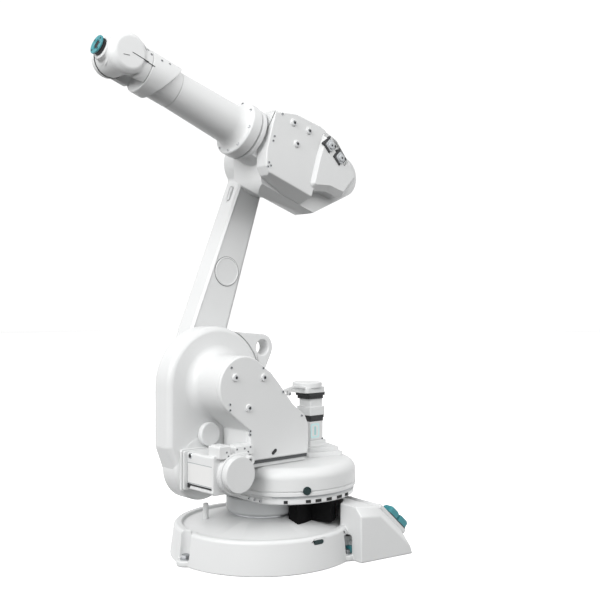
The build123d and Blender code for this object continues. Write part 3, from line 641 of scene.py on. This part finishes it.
# %% Encoder cover and lifting eye
RING_RADIUS, RING_END = 55, 130.0
CAP_RADIUS, CAP_END = 49, 148.0
RING_PROFILE = [(0, BOX_END - 2), (RING_RADIUS - 2, BOX_END - 2), (RING_RADIUS, BOX_END), (RING_RADIUS, 121),
                (RING_RADIUS - 1.5, 122.5), (RING_RADIUS - 1.5, 124), (RING_RADIUS, 125.5), (RING_RADIUS, 129),
                (RING_RADIUS - 1, RING_END), (0, RING_END)]
CAP_PROFILE = [(0, RING_END - 1), (CAP_RADIUS, RING_END - 1), (CAP_RADIUS, CAP_END - 4),
               (CAP_RADIUS - 1.2, CAP_END - 1.2), (CAP_RADIUS - 4, CAP_END), (0, CAP_END)]
turned_piece("encoder_ring", "frame", "white_paint", MOTOR_PAINT, motor_side, RING_PROFILE, 72, 0.8,
             replaces=("motor_ring",))
turned_piece("encoder_cap", "frame", "white_paint", MOTOR_PAINT, motor_side, CAP_PROFILE, 72,
             replaces=("motor_cap",))

EYE_X, EYE_Z, EYE_HOLE, EYE_RADIUS = -43, 31.5, 6, 14
EYE_PROFILE = [(EYE_HOLE, -14), (EYE_RADIUS - 1, -14), (EYE_RADIUS, -12), (EYE_RADIUS, 4), (EYE_RADIUS - 1.5, 6.5),
               (EYE_HOLE + 2, 6.5), (EYE_HOLE, 5), (EYE_HOLE, -14)]
eye_place = spot(MOTOR_AXIS, "near", EYE_X, RING_END, EYE_Z)
turned_piece("motor_eye", "frame", "white_paint", MOTOR_PAINT, eye_place, EYE_PROFILE, 32)
# A dark disc inside the eye's hole is painted shade.
turned_piece("motor_eye_hole_shade", "frame", "dark_plastic", HOLLOW_SHADE, eye_place, disc(EYE_HOLE, -13, -2), 24)

# %% [markdown]
# ## The turntable
# The bowl is one casting with a flat front. Its outline is a circle that a straight line cuts, and the
# two are blended by a soft minimum, which rounds the corner between them as a pattern maker would. The
# wall has a turned groove near its foot, and the shoulder is a quarter of an ellipse.

# %% Turntable bowl
BOWL_CENTRE = (-74.0, 6.0)
BOWL_RADIUS, BOWL_FRONT = 212.0, 105.0
BOWL_FOOT, BOWL_TOP, BOWL_ROOF_INSET = 186.0, 261.0, 60
BOWL_STEPS, BLEND_POWER = 120, 22


def bowl_outline(inset):
    points = []
    for step in range(BOWL_STEPS):
        angle = 2 * pi * step / BOWL_STEPS
        radius, flat = BOWL_RADIUS - inset, BOWL_FRONT - BOWL_CENTRE[0] - inset
        total = radius ** -BLEND_POWER
        if cos(angle) > 0:
            total += (flat / cos(angle)) ** -BLEND_POWER
        reach = total ** (-1 / BLEND_POWER)
        points.append((BOWL_CENTRE[0] + reach * cos(angle), BOWL_CENTRE[1] + reach * sin(angle)))
    return points


def stacked(mesh, rows):
    """Join bowl outlines of (inset, height) into one closed wall."""
    loops = [[mesh.verts.new(Vector((x, y, height)) * MM) for x, y in bowl_outline(inset)]
             for inset, height in rows]
    for low, high in zip(loops, loops[1:]):
        for i in range(len(low)):
            j = (i + 1) % len(low)
            mesh.faces.new((low[i], low[j], high[j], high[i]))
    mesh.faces.new(loops[0][::-1])
    mesh.faces.new(loops[-1])


ROOF_INSET, ROOF_DROP, ROOF_STEPS = 34.0, 30.0, 8
roof_rows = [(inset, BOWL_TOP - drop) for inset, drop in quarter_arc(ROOF_INSET, ROOF_DROP, ROOF_STEPS)]
groove_rows = [(4, BOWL_FOOT), (0, BOWL_FOOT + 2), (0, BOWL_FOOT + 10), (3, BOWL_FOOT + 11.5),
               (3, BOWL_FOOT + 14), (0, BOWL_FOOT + 15.5)]
mesh = bmesh.new()
stacked(mesh, groove_rows + roof_rows + [(BOWL_ROOF_INSET, BOWL_TOP)])
add_piece("bowl_casting", "frame", (CAST_PAINT,), mesh, replaces=("turntable_bowl",))

# %% Skirt with its slots
SKIRT_FOOT, SKIRT_INSET = 164.0, 5
SLOT_LOW, SLOT_HIGH, SLOT_DEPTH, SLOT_PROUD = SKIRT_FOOT + 4, SKIRT_FOOT + 12, 4, 1.2
# Each slot's first angle and its sweep, in degrees.
SLOTS = [(49, 3), (66, 4), (74, 5), (84, 5), (95, 6), (106, 5), (190, 6), (214, 6), (238, 6), (262, 6), (286, 6)]
mesh = bmesh.new()
stacked(mesh, [(8, SKIRT_FOOT), (SKIRT_INSET, SKIRT_FOOT + 3), (SKIRT_INSET, SKIRT_FOOT + 13), (9, SKIRT_FOOT + 14),
               (9, BOWL_FOOT)])
add_piece("skirt_ring", "frame", (CAST_PAINT,), mesh, replaces=("turntable_skirt",))
bowl_middle = Matrix.Translation((*BOWL_CENTRE, 0))
slot_inner, slot_outer = BOWL_RADIUS - SKIRT_INSET - SLOT_DEPTH, BOWL_RADIUS - SKIRT_INSET + SLOT_PROUD
# The slots are dark strips of painted shade set a little proud of the skirt.
mesh = bmesh.new()
for start, sweep in SLOTS:
    turned(mesh, bowl_middle, ring_section(slot_inner, slot_outer, SLOT_LOW, SLOT_HIGH), turns=8,
           start_deg=start, sweep_deg=sweep)
add_piece("skirt_slot_shades", "frame", (HOLLOW_SHADE,), mesh)

# A grey ring in the gap under the bowl's foot is painted shade along the seam.
LIP_INNER, LIP_OUTER, LIP_HEIGHT = BOWL_RADIUS - 12, BOWL_RADIUS - 6, 4
turned_piece("skirt_foot_gap_shade", "frame", "dark_plastic", MOULDING_GREY_AND_SHADE, bowl_middle,
             ring_section(LIP_INNER, LIP_OUTER, BOWL_FOOT - LIP_HEIGHT, BOWL_FOOT), LATHE_TURNS,
             start_deg=40, sweep_deg=280)
SKIRT_SCREWS_Y, SKIRT_SCREW_RISE = (-70, -40, 60, 84, 107), 8
screw_set("skirt_screws", "frame", "skirt",
          [spot(ROOM, "front", BOWL_FRONT - SKIRT_INSET, y, SKIRT_FOOT + SKIRT_SCREW_RISE) for y in SKIRT_SCREWS_Y])

# %% Bowl plug
PLUG_MIDDLE, PLUG_TURN_DEG, PLUG_REACH = Vector((-62, 6, 202)), 69.5, 209
BOWL_PLUG_PROFILE = [(0, -8), (11.5, -8), (11.5, 1.5), (10.5, 2.6), (8.4, 2.6), (7.6, 1.6), (0, 1.6)]
plug_out = Vector((cos(radians(PLUG_TURN_DEG)), sin(radians(PLUG_TURN_DEG)), 0))
plug_spot = place_at(PLUG_MIDDLE + plug_out * PLUG_REACH, (-plug_out.y, plug_out.x, 0), plug_out)
turned_piece("bowl_plug_cap", "frame", "teal_plastic", TEAL_DARK, plug_spot, BOWL_PLUG_PROFILE, 40,
             replaces=("bowl_plug",))

# %% [markdown]
# ## The upright motor
# The motor that turns the whole arm stands upright at the rear of the turntable: two mounting plates, a
# square body with a small label place, two necks between the housings, black as painted shade under the
# plates above them, and a flat round cover. A bent bracket joins the cover to the drum.

# %% Upright motor: plates, cover and necks
PLATE_TURN, PLATE_CORNER = Matrix.Rotation(radians(-19.0), 4, "Z"), 8
# Each plate: middle X and Y, width and depth, and the heights of its foot and its top.
BASE_PLATES = [(-186, 36, 116, 106, BOWL_TOP - 1, BOWL_TOP + 13), (-196, 24, 100, 96, BOWL_TOP + 12, BOWL_TOP + 24)]
mesh = bmesh.new()
for x, y, width, depth, foot, top in BASE_PLATES:
    extruded(mesh, Matrix.Translation((x, y, 0)) @ PLATE_TURN, rounded(width, depth, PLATE_CORNER), foot, top)
add_piece("upright_base_plate", "frame", (CAST_PAINT,), mesh, 2.0)

TOP_X, TOP_PLATE_X, TOP_PLATE_CORNER = -175.0, -177.0, 10
TOP_PLATE_SIDE, TOP_PLATE_FOOT, TOP_PLATE_TOP = 78, 445, 462
ROUND_COVER_PROFILE = [(0, 460), (45, 460), (45, 473), (43.5, 476), (40, 477), (0, 477)]
mesh = bmesh.new()
extruded(mesh, Matrix.Translation((TOP_PLATE_X, 0, 0)), rounded(TOP_PLATE_SIDE, TOP_PLATE_SIDE, TOP_PLATE_CORNER),
         TOP_PLATE_FOOT, TOP_PLATE_TOP)
turned(mesh, Matrix.Translation((TOP_X, 0, 0)), ROUND_COVER_PROFILE, turns=64)
add_piece("upright_cover", "frame", (MOTOR_PAINT,), mesh, 1.6, replaces=("upright_plate",))

# Each neck: middle X and Y, width and depth, corner, foot and top.
NECKS = [(-184, 4, 70, 62, 6, 436, 446), (-186, 2, 60, 56, 5, 426, 437), (-190, 0, 59, 59, 5, 368, 377),
         (-190, 0, 56, 56, 5, 358, 369)]
# The necks are black as painted shade, for the shadow of the plates above them.
mesh = bmesh.new()
for x, y, width, depth, corner, foot, top in NECKS:
    extruded(mesh, Matrix.Translation((x, y, 0)), rounded(width, depth, corner), foot, top)
add_piece("upright_painted_shade_necks", "frame", (SEAL_AND_SHADE,), mesh, 1.0, replaces=("upright_neck",))

# %% Upright motor: label place, screw and bracket
BODY_FACE, BODY_SCREW_X, BODY_SCREW_Z = 27, -212, 303
LABEL_X, LABEL_Z = -182, 330
UPRIGHT_LABEL = [(36, 44, 6, 0, 0.6), (24, 32, 4, 0.2, 0.8), (8, 26, 3, 0.4, 1.0)]
mesh = bmesh.new()
label_layers(mesh, spot(ROOM, "near", LABEL_X, BODY_FACE, LABEL_Z), UPRIGHT_LABEL)
add_piece("upright_label_place", "frame", (LABEL_TINT, LABEL, LABEL_MARK), mesh)
screw_set("upright_screws", "frame", "upright", [spot(ROOM, "near", BODY_SCREW_X, BODY_FACE, BODY_SCREW_Z)])

BRACKET_BACK, BRACKET_WIDTH = 22, 9
BRACKET_BAND = [(-8, 447), (-44, 452), (-62, 463), (-100, 472), (-142, 464), (-142, 458), (-100, 465),
                (-66, 456), (-50, 445), (-8, 440)]
TAB_X, TAB_Z, TAB_OUTLINE = -77, 452, rounded(13, 18, 4)
BRACKET_SCREWS = [(-50, 449), (-77, 448)]
mesh = bmesh.new()
extruded(mesh, spot(ROOM, "near", 0, BRACKET_BACK, 0), [(-x, z) for x, z in BRACKET_BAND], 0, BRACKET_WIDTH)
extruded(mesh, spot(ROOM, "near", TAB_X, BRACKET_BACK, TAB_Z), TAB_OUTLINE, 0.5, BRACKET_WIDTH - 0.6)
add_piece("cable_bracket", "frame", (MOTOR_PAINT,), mesh, 1.0)
screw_set("bracket_screws", "frame", "bracket",
          [spot(ROOM, "near", x, BRACKET_BACK + BRACKET_WIDTH, z) for x, z in BRACKET_SCREWS])

# %% [markdown]
# ## The arm house
# The house carries three bosses, paired screws along the cover's front edge, and two cable connectors on
# its rear cap. Each connector is a grey moulded shell in a black frame with a latch across it. Places
# are given from the elbow, along the forearm and square to it.

# %% House screws
HOUSE_FACE, HOUSE_BOSS_STAND = 85.0, 5.0
HOUSE_BOSSES = [(71, 66), (10, 70), (41, 14)]
HOUSE_EDGE = [(117, 71), (124, -2), (124, -16), (119, -80), (119, -93), (110, -86)]
screw_set("house_boss_screws", "arm_house", "boss",
          [spot(UPPER, "near", u, HOUSE_FACE + HOUSE_BOSS_STAND, w) for u, w in HOUSE_BOSSES])
screw_set("house_edge_screws", "arm_house", "house edge",
          [spot(UPPER, "near", u, HOUSE_FACE, w) for u, w in HOUSE_EDGE])

# %% Cable connectors
CONNECTOR_SPOTS, CONNECTOR_FACE, CONNECTOR_TURN_DEG = [(-72, 62), (-122, 45)], 94, 27.7
FRAME_OUTLINE, LATCH, RAIL_BELOW = rounded(44, 36, 6), rounded(6, 38, 2.5, x=-18.5), rounded(30, 5, 2, y=-16)
CORNER_BLOCK, SHELL_OUTLINE = rounded(8, 8, 2, x=14, y=13), rounded(32, 27, 8, x=1, y=1)
KNOB = Matrix.Translation((2, 1, 0))
KNOB_PROFILE = [(0, 4), (9.5, 4), (10.5, 6), (10.5, 9), (9, 10.5), (0, 10.5)]
PIN_PROFILE = disc(3.5, 10, 11)
shells = bmesh.new()
frames = bmesh.new()
for u, w in CONNECTOR_SPOTS:
    place = spot(UPPER, "near", u, CONNECTOR_FACE, w, -CONNECTOR_TURN_DEG)
    for outline, back, face in ((FRAME_OUTLINE, -14, 0), (LATCH, -2, 5), (RAIL_BELOW, -2, 4), (CORNER_BLOCK, -2, 6)):
        extruded(frames, place, outline, back, face)
    extruded(shells, place, SHELL_OUTLINE, -3, 6)
    turned(shells, place @ KNOB, KNOB_PROFILE, turns=28)
    turned(frames, place @ KNOB, PIN_PROFILE, turns=16)
add_piece("connector_frames", "arm_house", (BLACK,), frames, 1.2, replaces=("connector_block",))
add_piece("connector_shells", "arm_house", (MOULDING_GREY_AND_SHADE,), shells, 1.2)

# %% [markdown]
# ## The forearm
# The tube is one casting: a cone that flares into the bolted flange. The flare takes the last 34 mm, and
# its profile is a quarter ellipse, so the light rolls over it instead of stopping at a line.

# %% Forearm tube
TUBE_END, FLANGE_FACE, FACE_SINK = 428.0, 203.7, 0.2
ROOT_RADIUS, TIP_RADIUS = 57.5, 50.5
FLARE_LENGTH, FLARE_RISE, FLARE_STEPS = 34.0, 19.0, 8
forearm_axis = UPPER @ place_at(Vector((0, 0, 0)), (0, 1, 0), (1, 0, 0))
slope = (TIP_RADIUS - ROOT_RADIUS) / (TUBE_END - FLANGE_FACE)
flare = [(ROOT_RADIUS + slope * ahead + rise, FLANGE_FACE + ahead)
         for ahead, rise in quarter_arc(FLARE_LENGTH, FLARE_RISE, FLARE_STEPS)]
tube = ([(0, FLANGE_FACE - FACE_SINK), (ROOT_RADIUS + FLARE_RISE, FLANGE_FACE - FACE_SINK)] + flare
        + [(TIP_RADIUS, TUBE_END), (0, TUBE_END)])
turned_piece("tube_casting", "forearm", "white_paint", CAST_PAINT, forearm_axis, tube, LATHE_TURNS,
             replaces=("forearm_tube",))

# %% Forearm flange screws
FLANGE_SCREW_CIRCLE = 70.5
FLANGE_SCREW_ANGLES = (82, 37, -8, -55, -88, -124, -163, 172, 127)
screw_set("flange_screws", "forearm", "flange",
          [spot(UPPER, "front", FLANGE_FACE, FLANGE_SCREW_CIRCLE * cos(radians(angle)),
                FLANGE_SCREW_CIRCLE * sin(radians(angle))) for angle in FLANGE_SCREW_ANGLES])

# %% [markdown]
# ## The wrist
# The wrist is a fork. A domed belt cover closes its near side, and a seam runs back from the middle of
# the dome; the seam's dark line is painted shade. The far cheek is the smaller bearing side. Dark rings in
# the gaps beside the tilt are painted shade. The tool flange is a teal ring, and the black body behind it
# is painted shade on the flange's side.

# %% Far cheek
WRIST_REACH = 600
WRIST = UPPER @ Matrix.Translation((WRIST_REACH, 0, 0))
CHEEK_INNER, CHEEK_OUTER, FAR_RADIUS = 38.0, 64.0, 45.0
FAR_PROFILE = [(0, CHEEK_INNER), (FAR_RADIUS, CHEEK_INNER), (FAR_RADIUS, 52), (FAR_RADIUS - 3, 58),
               (FAR_RADIUS - 9, 62.5), (FAR_RADIUS - 15, CHEEK_OUTER), (0, CHEEK_OUTER)]
FAR_ARM_OUTLINE, FAR_ARM_OUTER = rounded(74, 76, 10, x=-35), 55
wrist_far, wrist_near = spot(WRIST, "far", 0, 0, 0), spot(WRIST, "near", 0, 0, 0)
mesh = bmesh.new()
turned(mesh, wrist_far, FAR_PROFILE, turns=64)
extruded(mesh, wrist_far, FAR_ARM_OUTLINE, CHEEK_INNER, FAR_ARM_OUTER)
add_piece("far_cheek", "forearm", (CAST_PAINT,), mesh, 2.5, replaces=("wrist_cheek_right",))

# %% Painted shade in the wrist gaps, and the seam
# Dark rings in the gaps on both sides of the tilt are painted shade.
WRIST_SHADE_INNER, WRIST_SHADE_OUTER, WRIST_SHADE_LOW, WRIST_SHADE_HIGH = 40, 47.0, 34.0, 37.6
mesh = bmesh.new()
for side_place in (wrist_far, wrist_near):
    turned(mesh, side_place, ring_section(WRIST_SHADE_INNER, WRIST_SHADE_OUTER, WRIST_SHADE_LOW, WRIST_SHADE_HIGH), turns=64)
add_piece("wrist_gap_shade", "forearm", (SEAL_AND_SHADE,), mesh)

# Each seam strip: X, face and Z from the wrist axis, its roll, its outline, its back and its front.
SEAMS = [(-29, CHEEK_OUTER, 1.2, 0, rounded(50, 1.8, 0.8), -12, 0.6), (-62, 59, 1.2, 0, rounded(28, 1.8, 0.8), -4, 2.0),
         (9, CHEEK_OUTER, -13, 18, rounded(18, 1.6, 0.7), -2, 0.5)]
# The strips follow a real seam, drawn dark as painted shade for the shadow line along the cover's edge.
mesh = bmesh.new()
for x, face, z, roll, outline, back, front in SEAMS:
    extruded(mesh, spot(WRIST, "near", x, face, z, roll), outline, back, front)
add_piece("wrist_joint_line_shade", "forearm", (SEAL_AND_SHADE,), mesh)

# %% Wrist screws
WRIST_SCREW_REACH = 59.6
WRIST_SCREWS = [(549, 39), (539, 29), (506, 30), (480, 36), (480, 144), (506, 150), (539, 151), (549, 141)]
wrist_places = []
for u, angle in WRIST_SCREWS:
    out = Vector((0, cos(radians(angle)), sin(radians(angle))))
    wrist_places.append(UPPER @ place_at(Vector((u, 0, 0)) + out * WRIST_SCREW_REACH, (1, 0, 0), out))
screw_set("wrist_screws", "forearm", "wrist", wrist_places)

# %% [markdown]
# ## The tool flange
# The flange face is the part that a customer's tool bolts to, so it has a centring recess, four tapped
# holes and a dowel hole. It is turned in one profile, and the holes are dark discs of painted shade set
# just proud of the face, because a hole of 6 mm shows nothing but its own shade here. The centring recess
# is a dark disc of painted shade too, and the black body behind the teal ring is painted shade on the
# flange's side.

# %% Tool flange
TOOL_FACE, HOLE_CIRCLE, HOLE_RADIUS, DOWEL_RADIUS = 65, 19.5, 3.0, 2.0
HOLE_SINK, HOLE_PROUD = 1, 0.25
TOOL_SHADE_BODY_PROFILE = [(0, 48), (23, 48), (23, 56), (21.5, 57), (21.5, 60.6), (0, 60.6)]
TOOL_RING_PROFILE = [(0, 60), (24.8, 60), (25.4, 60.6), (25.4, 64.2), (24.4, TOOL_FACE), (15.5, TOOL_FACE),
                     (14.5, 64.4), (12.5, 62), (12.5, 60.8), (0, 60.8)]
TOOL_BORE_SHADE_PROFILE = disc(11.5, 60, 61.4)
flange_axis = WRIST @ place_at(Vector((0, 0, 0)), (0, 1, 0), (1, 0, 0))


def tool_hole(mesh, angle_deg, radius, turns):
    angle = radians(angle_deg)
    place = flange_axis @ Matrix.Translation((HOLE_CIRCLE * cos(angle), HOLE_CIRCLE * sin(angle), TOOL_FACE))
    turned(mesh, place, disc(radius, -HOLE_SINK, HOLE_PROUD), turns=turns, colour=2)


mesh = bmesh.new()
# The body behind the ring and the disc in its bore are black as painted shade.
turned(mesh, flange_axis, TOOL_SHADE_BODY_PROFILE, turns=48, colour=1)
turned(mesh, flange_axis, TOOL_RING_PROFILE, turns=48)
for angle in (45, 135, 225, 315):
    tool_hole(mesh, angle, HOLE_RADIUS, 20)
tool_hole(mesh, 0, DOWEL_RADIUS, 16)
turned(mesh, flange_axis, TOOL_BORE_SHADE_PROFILE, turns=32, colour=1)
add_piece("flange_ring", "tool", (TEAL_CAP, SEAL_AND_SHADE, HOLLOW_SHADE), mesh, replaces=("tool_flange",))

# %% [markdown]
# ## The base
# The base is bolted down through three pocketed ears. Behind the turntable a near-black sheet is painted
# shade in the hollow under the bowl, and the sloped rear panel carries three teal cable caps. A teal cap
# also closes the recess in the base's side.

# %% Anchor bolts and side cap
ANCHOR_REACH, EAR_HEIGHT = 256, 16
WASHER_PROFILE = [(0, -1), (15, -1), (15, 3), (14, 3.6), (9, 3.6), (0, 3.6)]
BOLT_PROFILE = [(0, 3), (12.5, 3, HEXAGON), (12.5, 11.5, HEXAGON), (11.4, 12.8), (0, 12.8)]
mesh = bmesh.new()
for angle in (0, 120, 240):
    ear = BASE @ Matrix.Rotation(radians(angle), 4, "Z") @ Matrix.Translation((ANCHOR_REACH, 0, EAR_HEIGHT))
    turned(mesh, ear, WASHER_PROFILE, turns=32)
    turned(mesh, ear, BOLT_PROFILE, turns=24)
add_piece("anchor_bolts", "base", (ZINC,), mesh)

SIDE_CAP_LARGER, SIDE_CAP_DROP, SIDE_CAP_RISE, SIDE_CAP_CORNER = 2, 16, 3, 3
side_low, side_high = box_mm("side_socket")
side_middle, side_size = box_middle("side_socket"), side_high - side_low
mesh = bmesh.new()
extruded(mesh, Matrix.Translation((side_middle.x, side_middle.y, 0)),
         rounded(side_size.x + SIDE_CAP_LARGER, side_size.y + SIDE_CAP_LARGER, SIDE_CAP_CORNER),
         side_low.z - SIDE_CAP_DROP, side_low.z + SIDE_CAP_RISE)
add_piece("side_cap", "base", (TEAL_CAP,), mesh, 1.5, replaces=("side_socket",))

# %% Painted shade behind the hub
REAR_SHADE_INNER, REAR_SHADE_FOOT, REAR_SHADE_TOP, REAR_SHADE_SLOPE, REAR_SHADE_EDGE = 112, 98, 158, 8, 6
# The painted shade's two sectors: outer radius, first angle and sweep.
REAR_SHADE_SECTORS = [(152, 90, 26), (212, 115, 120)]
mesh = bmesh.new()
for reach, start, sweep in REAR_SHADE_SECTORS:
    turned(mesh, ROOM, [(REAR_SHADE_INNER, REAR_SHADE_FOOT), (reach, REAR_SHADE_FOOT), (reach, REAR_SHADE_TOP - REAR_SHADE_SLOPE),
                        (reach - REAR_SHADE_EDGE, REAR_SHADE_TOP), (REAR_SHADE_INNER + REAR_SHADE_SLOPE, REAR_SHADE_TOP),
                        (REAR_SHADE_INNER, REAR_SHADE_TOP - REAR_SHADE_SLOPE), (REAR_SHADE_INNER, REAR_SHADE_FOOT)],
           turns=40, start_deg=start, sweep_deg=sweep)
add_piece("hub_rear_painted_shade", "base", (REAR_SHADE_BLACK,), mesh, 3.0)

# %% Rear panel screws and socket lids
SLOPE_MIDDLE, SLOPE_NORMAL = Vector((-253.5, 0, 105)), (-76, 0, 83)
PANEL_FACE, LID_FACE = 12, 33
PANEL_SCREWS = [(248, -41), (124, -41), (0, -41), (-124, -41), (-248, -41), (-248, 72), (-124, 72), (124, 72),
                (200, 72)]
panel = BASE @ place_at(SLOPE_MIDDLE, (0, 1, 0), SLOPE_NORMAL)
screw_set("panel_screws", "base", "panel",
          [panel @ Matrix.Translation((x, y, PANEL_FACE)) for x, y in PANEL_SCREWS])

LID_SPOTS = [(238.5, 13.5), (238.5, 58.5), (0, 16)]
LID_OUTLINE, LID_TOP, GASKET_OUTLINE = rounded(34, 34, 6), rounded(24, 24, 4), rounded(44, 44, 9)
GRIP_RIBS = [rounded(3, 43, 1.4, x=x) for x in (-12, -4, 4, 12)]
lids = bmesh.new()
gaskets = bmesh.new()
for x, y in LID_SPOTS:
    place = panel @ Matrix.Translation((x, y, LID_FACE))
    extruded(lids, place, LID_OUTLINE, -1, 2.4)
    extruded(lids, place, LID_TOP, 2, 4.4)
    for rib in GRIP_RIBS:
        extruded(lids, place, rib, -17, -3)
    extruded(gaskets, place, GASKET_OUTLINE, -21, -18)
add_piece("socket_lids", "base", (TEAL_CAP,), lids, 0.9)
add_piece("socket_gaskets", "base", (SEAL_AND_SHADE,), gaskets)

# %% [markdown]
# ## Bolted sides of the arm
# The far side of the arm is where its gearboxes are bolted in. Each has a ring of screws round a shallow
# turned cap, at the shoulder and at the elbow. The lower arm's near side has a round plug with a lip.

# %% Gearbox rings
ARM_FAR, ARM_LENGTH, RING_COUNT = -200.0, 700, 12
# Each gearbox: its height along the arm, its cap's radius and its screw circle's radius.
GEARBOXES = [(0, 44, 68), (ARM_LENGTH, 40, 62)]
mesh = bmesh.new()
ring_places = []
for height, radius, circle in GEARBOXES:
    turned(mesh, spot(LOWER, "far", 0, ARM_FAR, height),
           [(0, -1), (radius, -1), (radius, 2), (radius - 2, 4), (radius - 8, 4), (radius - 10, 3), (0, 3)], turns=64)
    for i in range(RING_COUNT):
        angle = 2 * pi * i / RING_COUNT
        ring_places.append(spot(LOWER, "far", circle * cos(angle), ARM_FAR, height + circle * sin(angle)))
add_piece("gearbox_caps", "lower_arm", (COVER_PAINT,), mesh, 0.8)
screw_set("gearbox_screws", "lower_arm", "gearbox", ring_places)

# %% Arm plug
ARM_PLUG_PROFILE = [(0, -1), (43, -1), (43, 1.5), (42, 2.6), (39.5, 3), (38.6, 2.2), (38.2, 1.6), (0, 1.6)]
PLUG_GAP_PROFILE = ring_section(42.8, 44.6, -0.5, 0.6)
plug_middle = box_middle("arm_plug")
arm_plug_place = spot(ROOM, "near", plug_middle.x, box_mm("arm_plug")[0].y, plug_middle.z)
turned_piece("arm_plug_cap", "lower_arm", "white_paint", COVER_PAINT, arm_plug_place, ARM_PLUG_PROFILE, 64,
             replaces=("arm_plug",))
# A dark grey ring in the groove round the plug is painted shade.
turned_piece("arm_plug_ring_shade", "lower_arm", "dark_plastic", GAP_SHADE_GREY, arm_plug_place, PLUG_GAP_PROFILE, 64)

# %% [markdown]
# ## Floor, sky and lamps
# A product shot like this one is lit by a large soft box on one side and a white room. The sky's strength
# changes with height only: full at eye level, weaker overhead, and weak below, which gives the undersides
# their shade. The floor is white paper with a faint glow of its own, so it burns out to plain white, and
# it is left out of the bounced light for the same reason as the weak sky below. Lamps are in metres.

# %% Sky and soft boxes
SKY_OVERHEAD, SKY_LEVEL, SKY_BELOW = 0.6, 1.06, 0.04
WEAKER_ABOVE, SHADED_BELOW = (0.4, 0.9), (-0.12, -0.02)
WHITE = (1, 1, 1, 1)


def studio_sky():
    world = bpy.data.worlds.new("studio")
    bpy.context.scene.world = world
    world.use_nodes = True
    tree = world.node_tree
    direction = add_node(tree, "ShaderNodeTexCoord").outputs["Generated"]
    height = add_node(tree, "ShaderNodeSeparateXYZ", {"Vector": direction}).outputs["Z"]
    above = add_node(tree, "ShaderNodeMapRange", {"Value": height, "From Min": WEAKER_ABOVE[0],
                                                  "From Max": WEAKER_ABOVE[1],
                                                  "To Min": SKY_LEVEL, "To Max": SKY_OVERHEAD})
    below = add_node(tree, "ShaderNodeMapRange", {"Value": height, "From Min": SHADED_BELOW[0],
                                                  "From Max": SHADED_BELOW[1],
                                                  "To Min": SKY_BELOW / SKY_LEVEL, "To Max": 1.0})
    both = add_node(tree, "ShaderNodeMath", {0: above.outputs["Result"], 1: below.outputs["Result"]},
                    operation="MULTIPLY")
    background = tree.nodes["Background"]
    background.inputs["Color"].default_value = WHITE
    tree.links.new(both.outputs["Value"], background.inputs["Strength"])


def soft_box(name, turn_deg, lift_deg, distance, size, power, target):
    turn_to, lift = radians(turn_deg), radians(lift_deg)
    aim = Vector((cos(lift) * cos(turn_to), cos(lift) * sin(turn_to), sin(lift)))
    data = bpy.data.lights.new(name, "AREA")
    data.shape = "RECTANGLE"
    data.size, data.size_y = size
    data.energy = power
    lamp = bpy.data.objects.new(name, data)
    lamp.location = Vector(target) + aim * distance
    lamp.rotation_euler = (-aim).to_track_quat("-Z", "Y").to_euler()
    bpy.context.scene.collection.objects.link(lamp)
    return lamp


studio_sky()
soft_box("key_box", 14, 27, distance=3.4, size=(2.2, 2.2), power=98, target=(0.05, 0.0, 0.95))
soft_box("fill_box", 95, 30, distance=2.4, size=(1.6, 1.6), power=21, target=(0.0, 0.0, 1.2))
print("soft boxes and sky made")

# %% Paper floor
FLOOR_SIZE, FLOOR_DROP = 40, 0.0005
PAPER_GLOW = 0.55
bpy.ops.mesh.primitive_plane_add(size=FLOOR_SIZE, location=(0, 0, -FLOOR_DROP))
floor = bpy.context.object
floor.name = "studio_floor"
floor.data.materials.append(new_material("studio_paper", "#F6F6F6", 0.9, Emission_Color=WHITE,
                                         Emission_Strength=PAPER_GLOW))
floor.visible_diffuse = False
bpy.context.scene.view_settings.view_transform = "Standard"
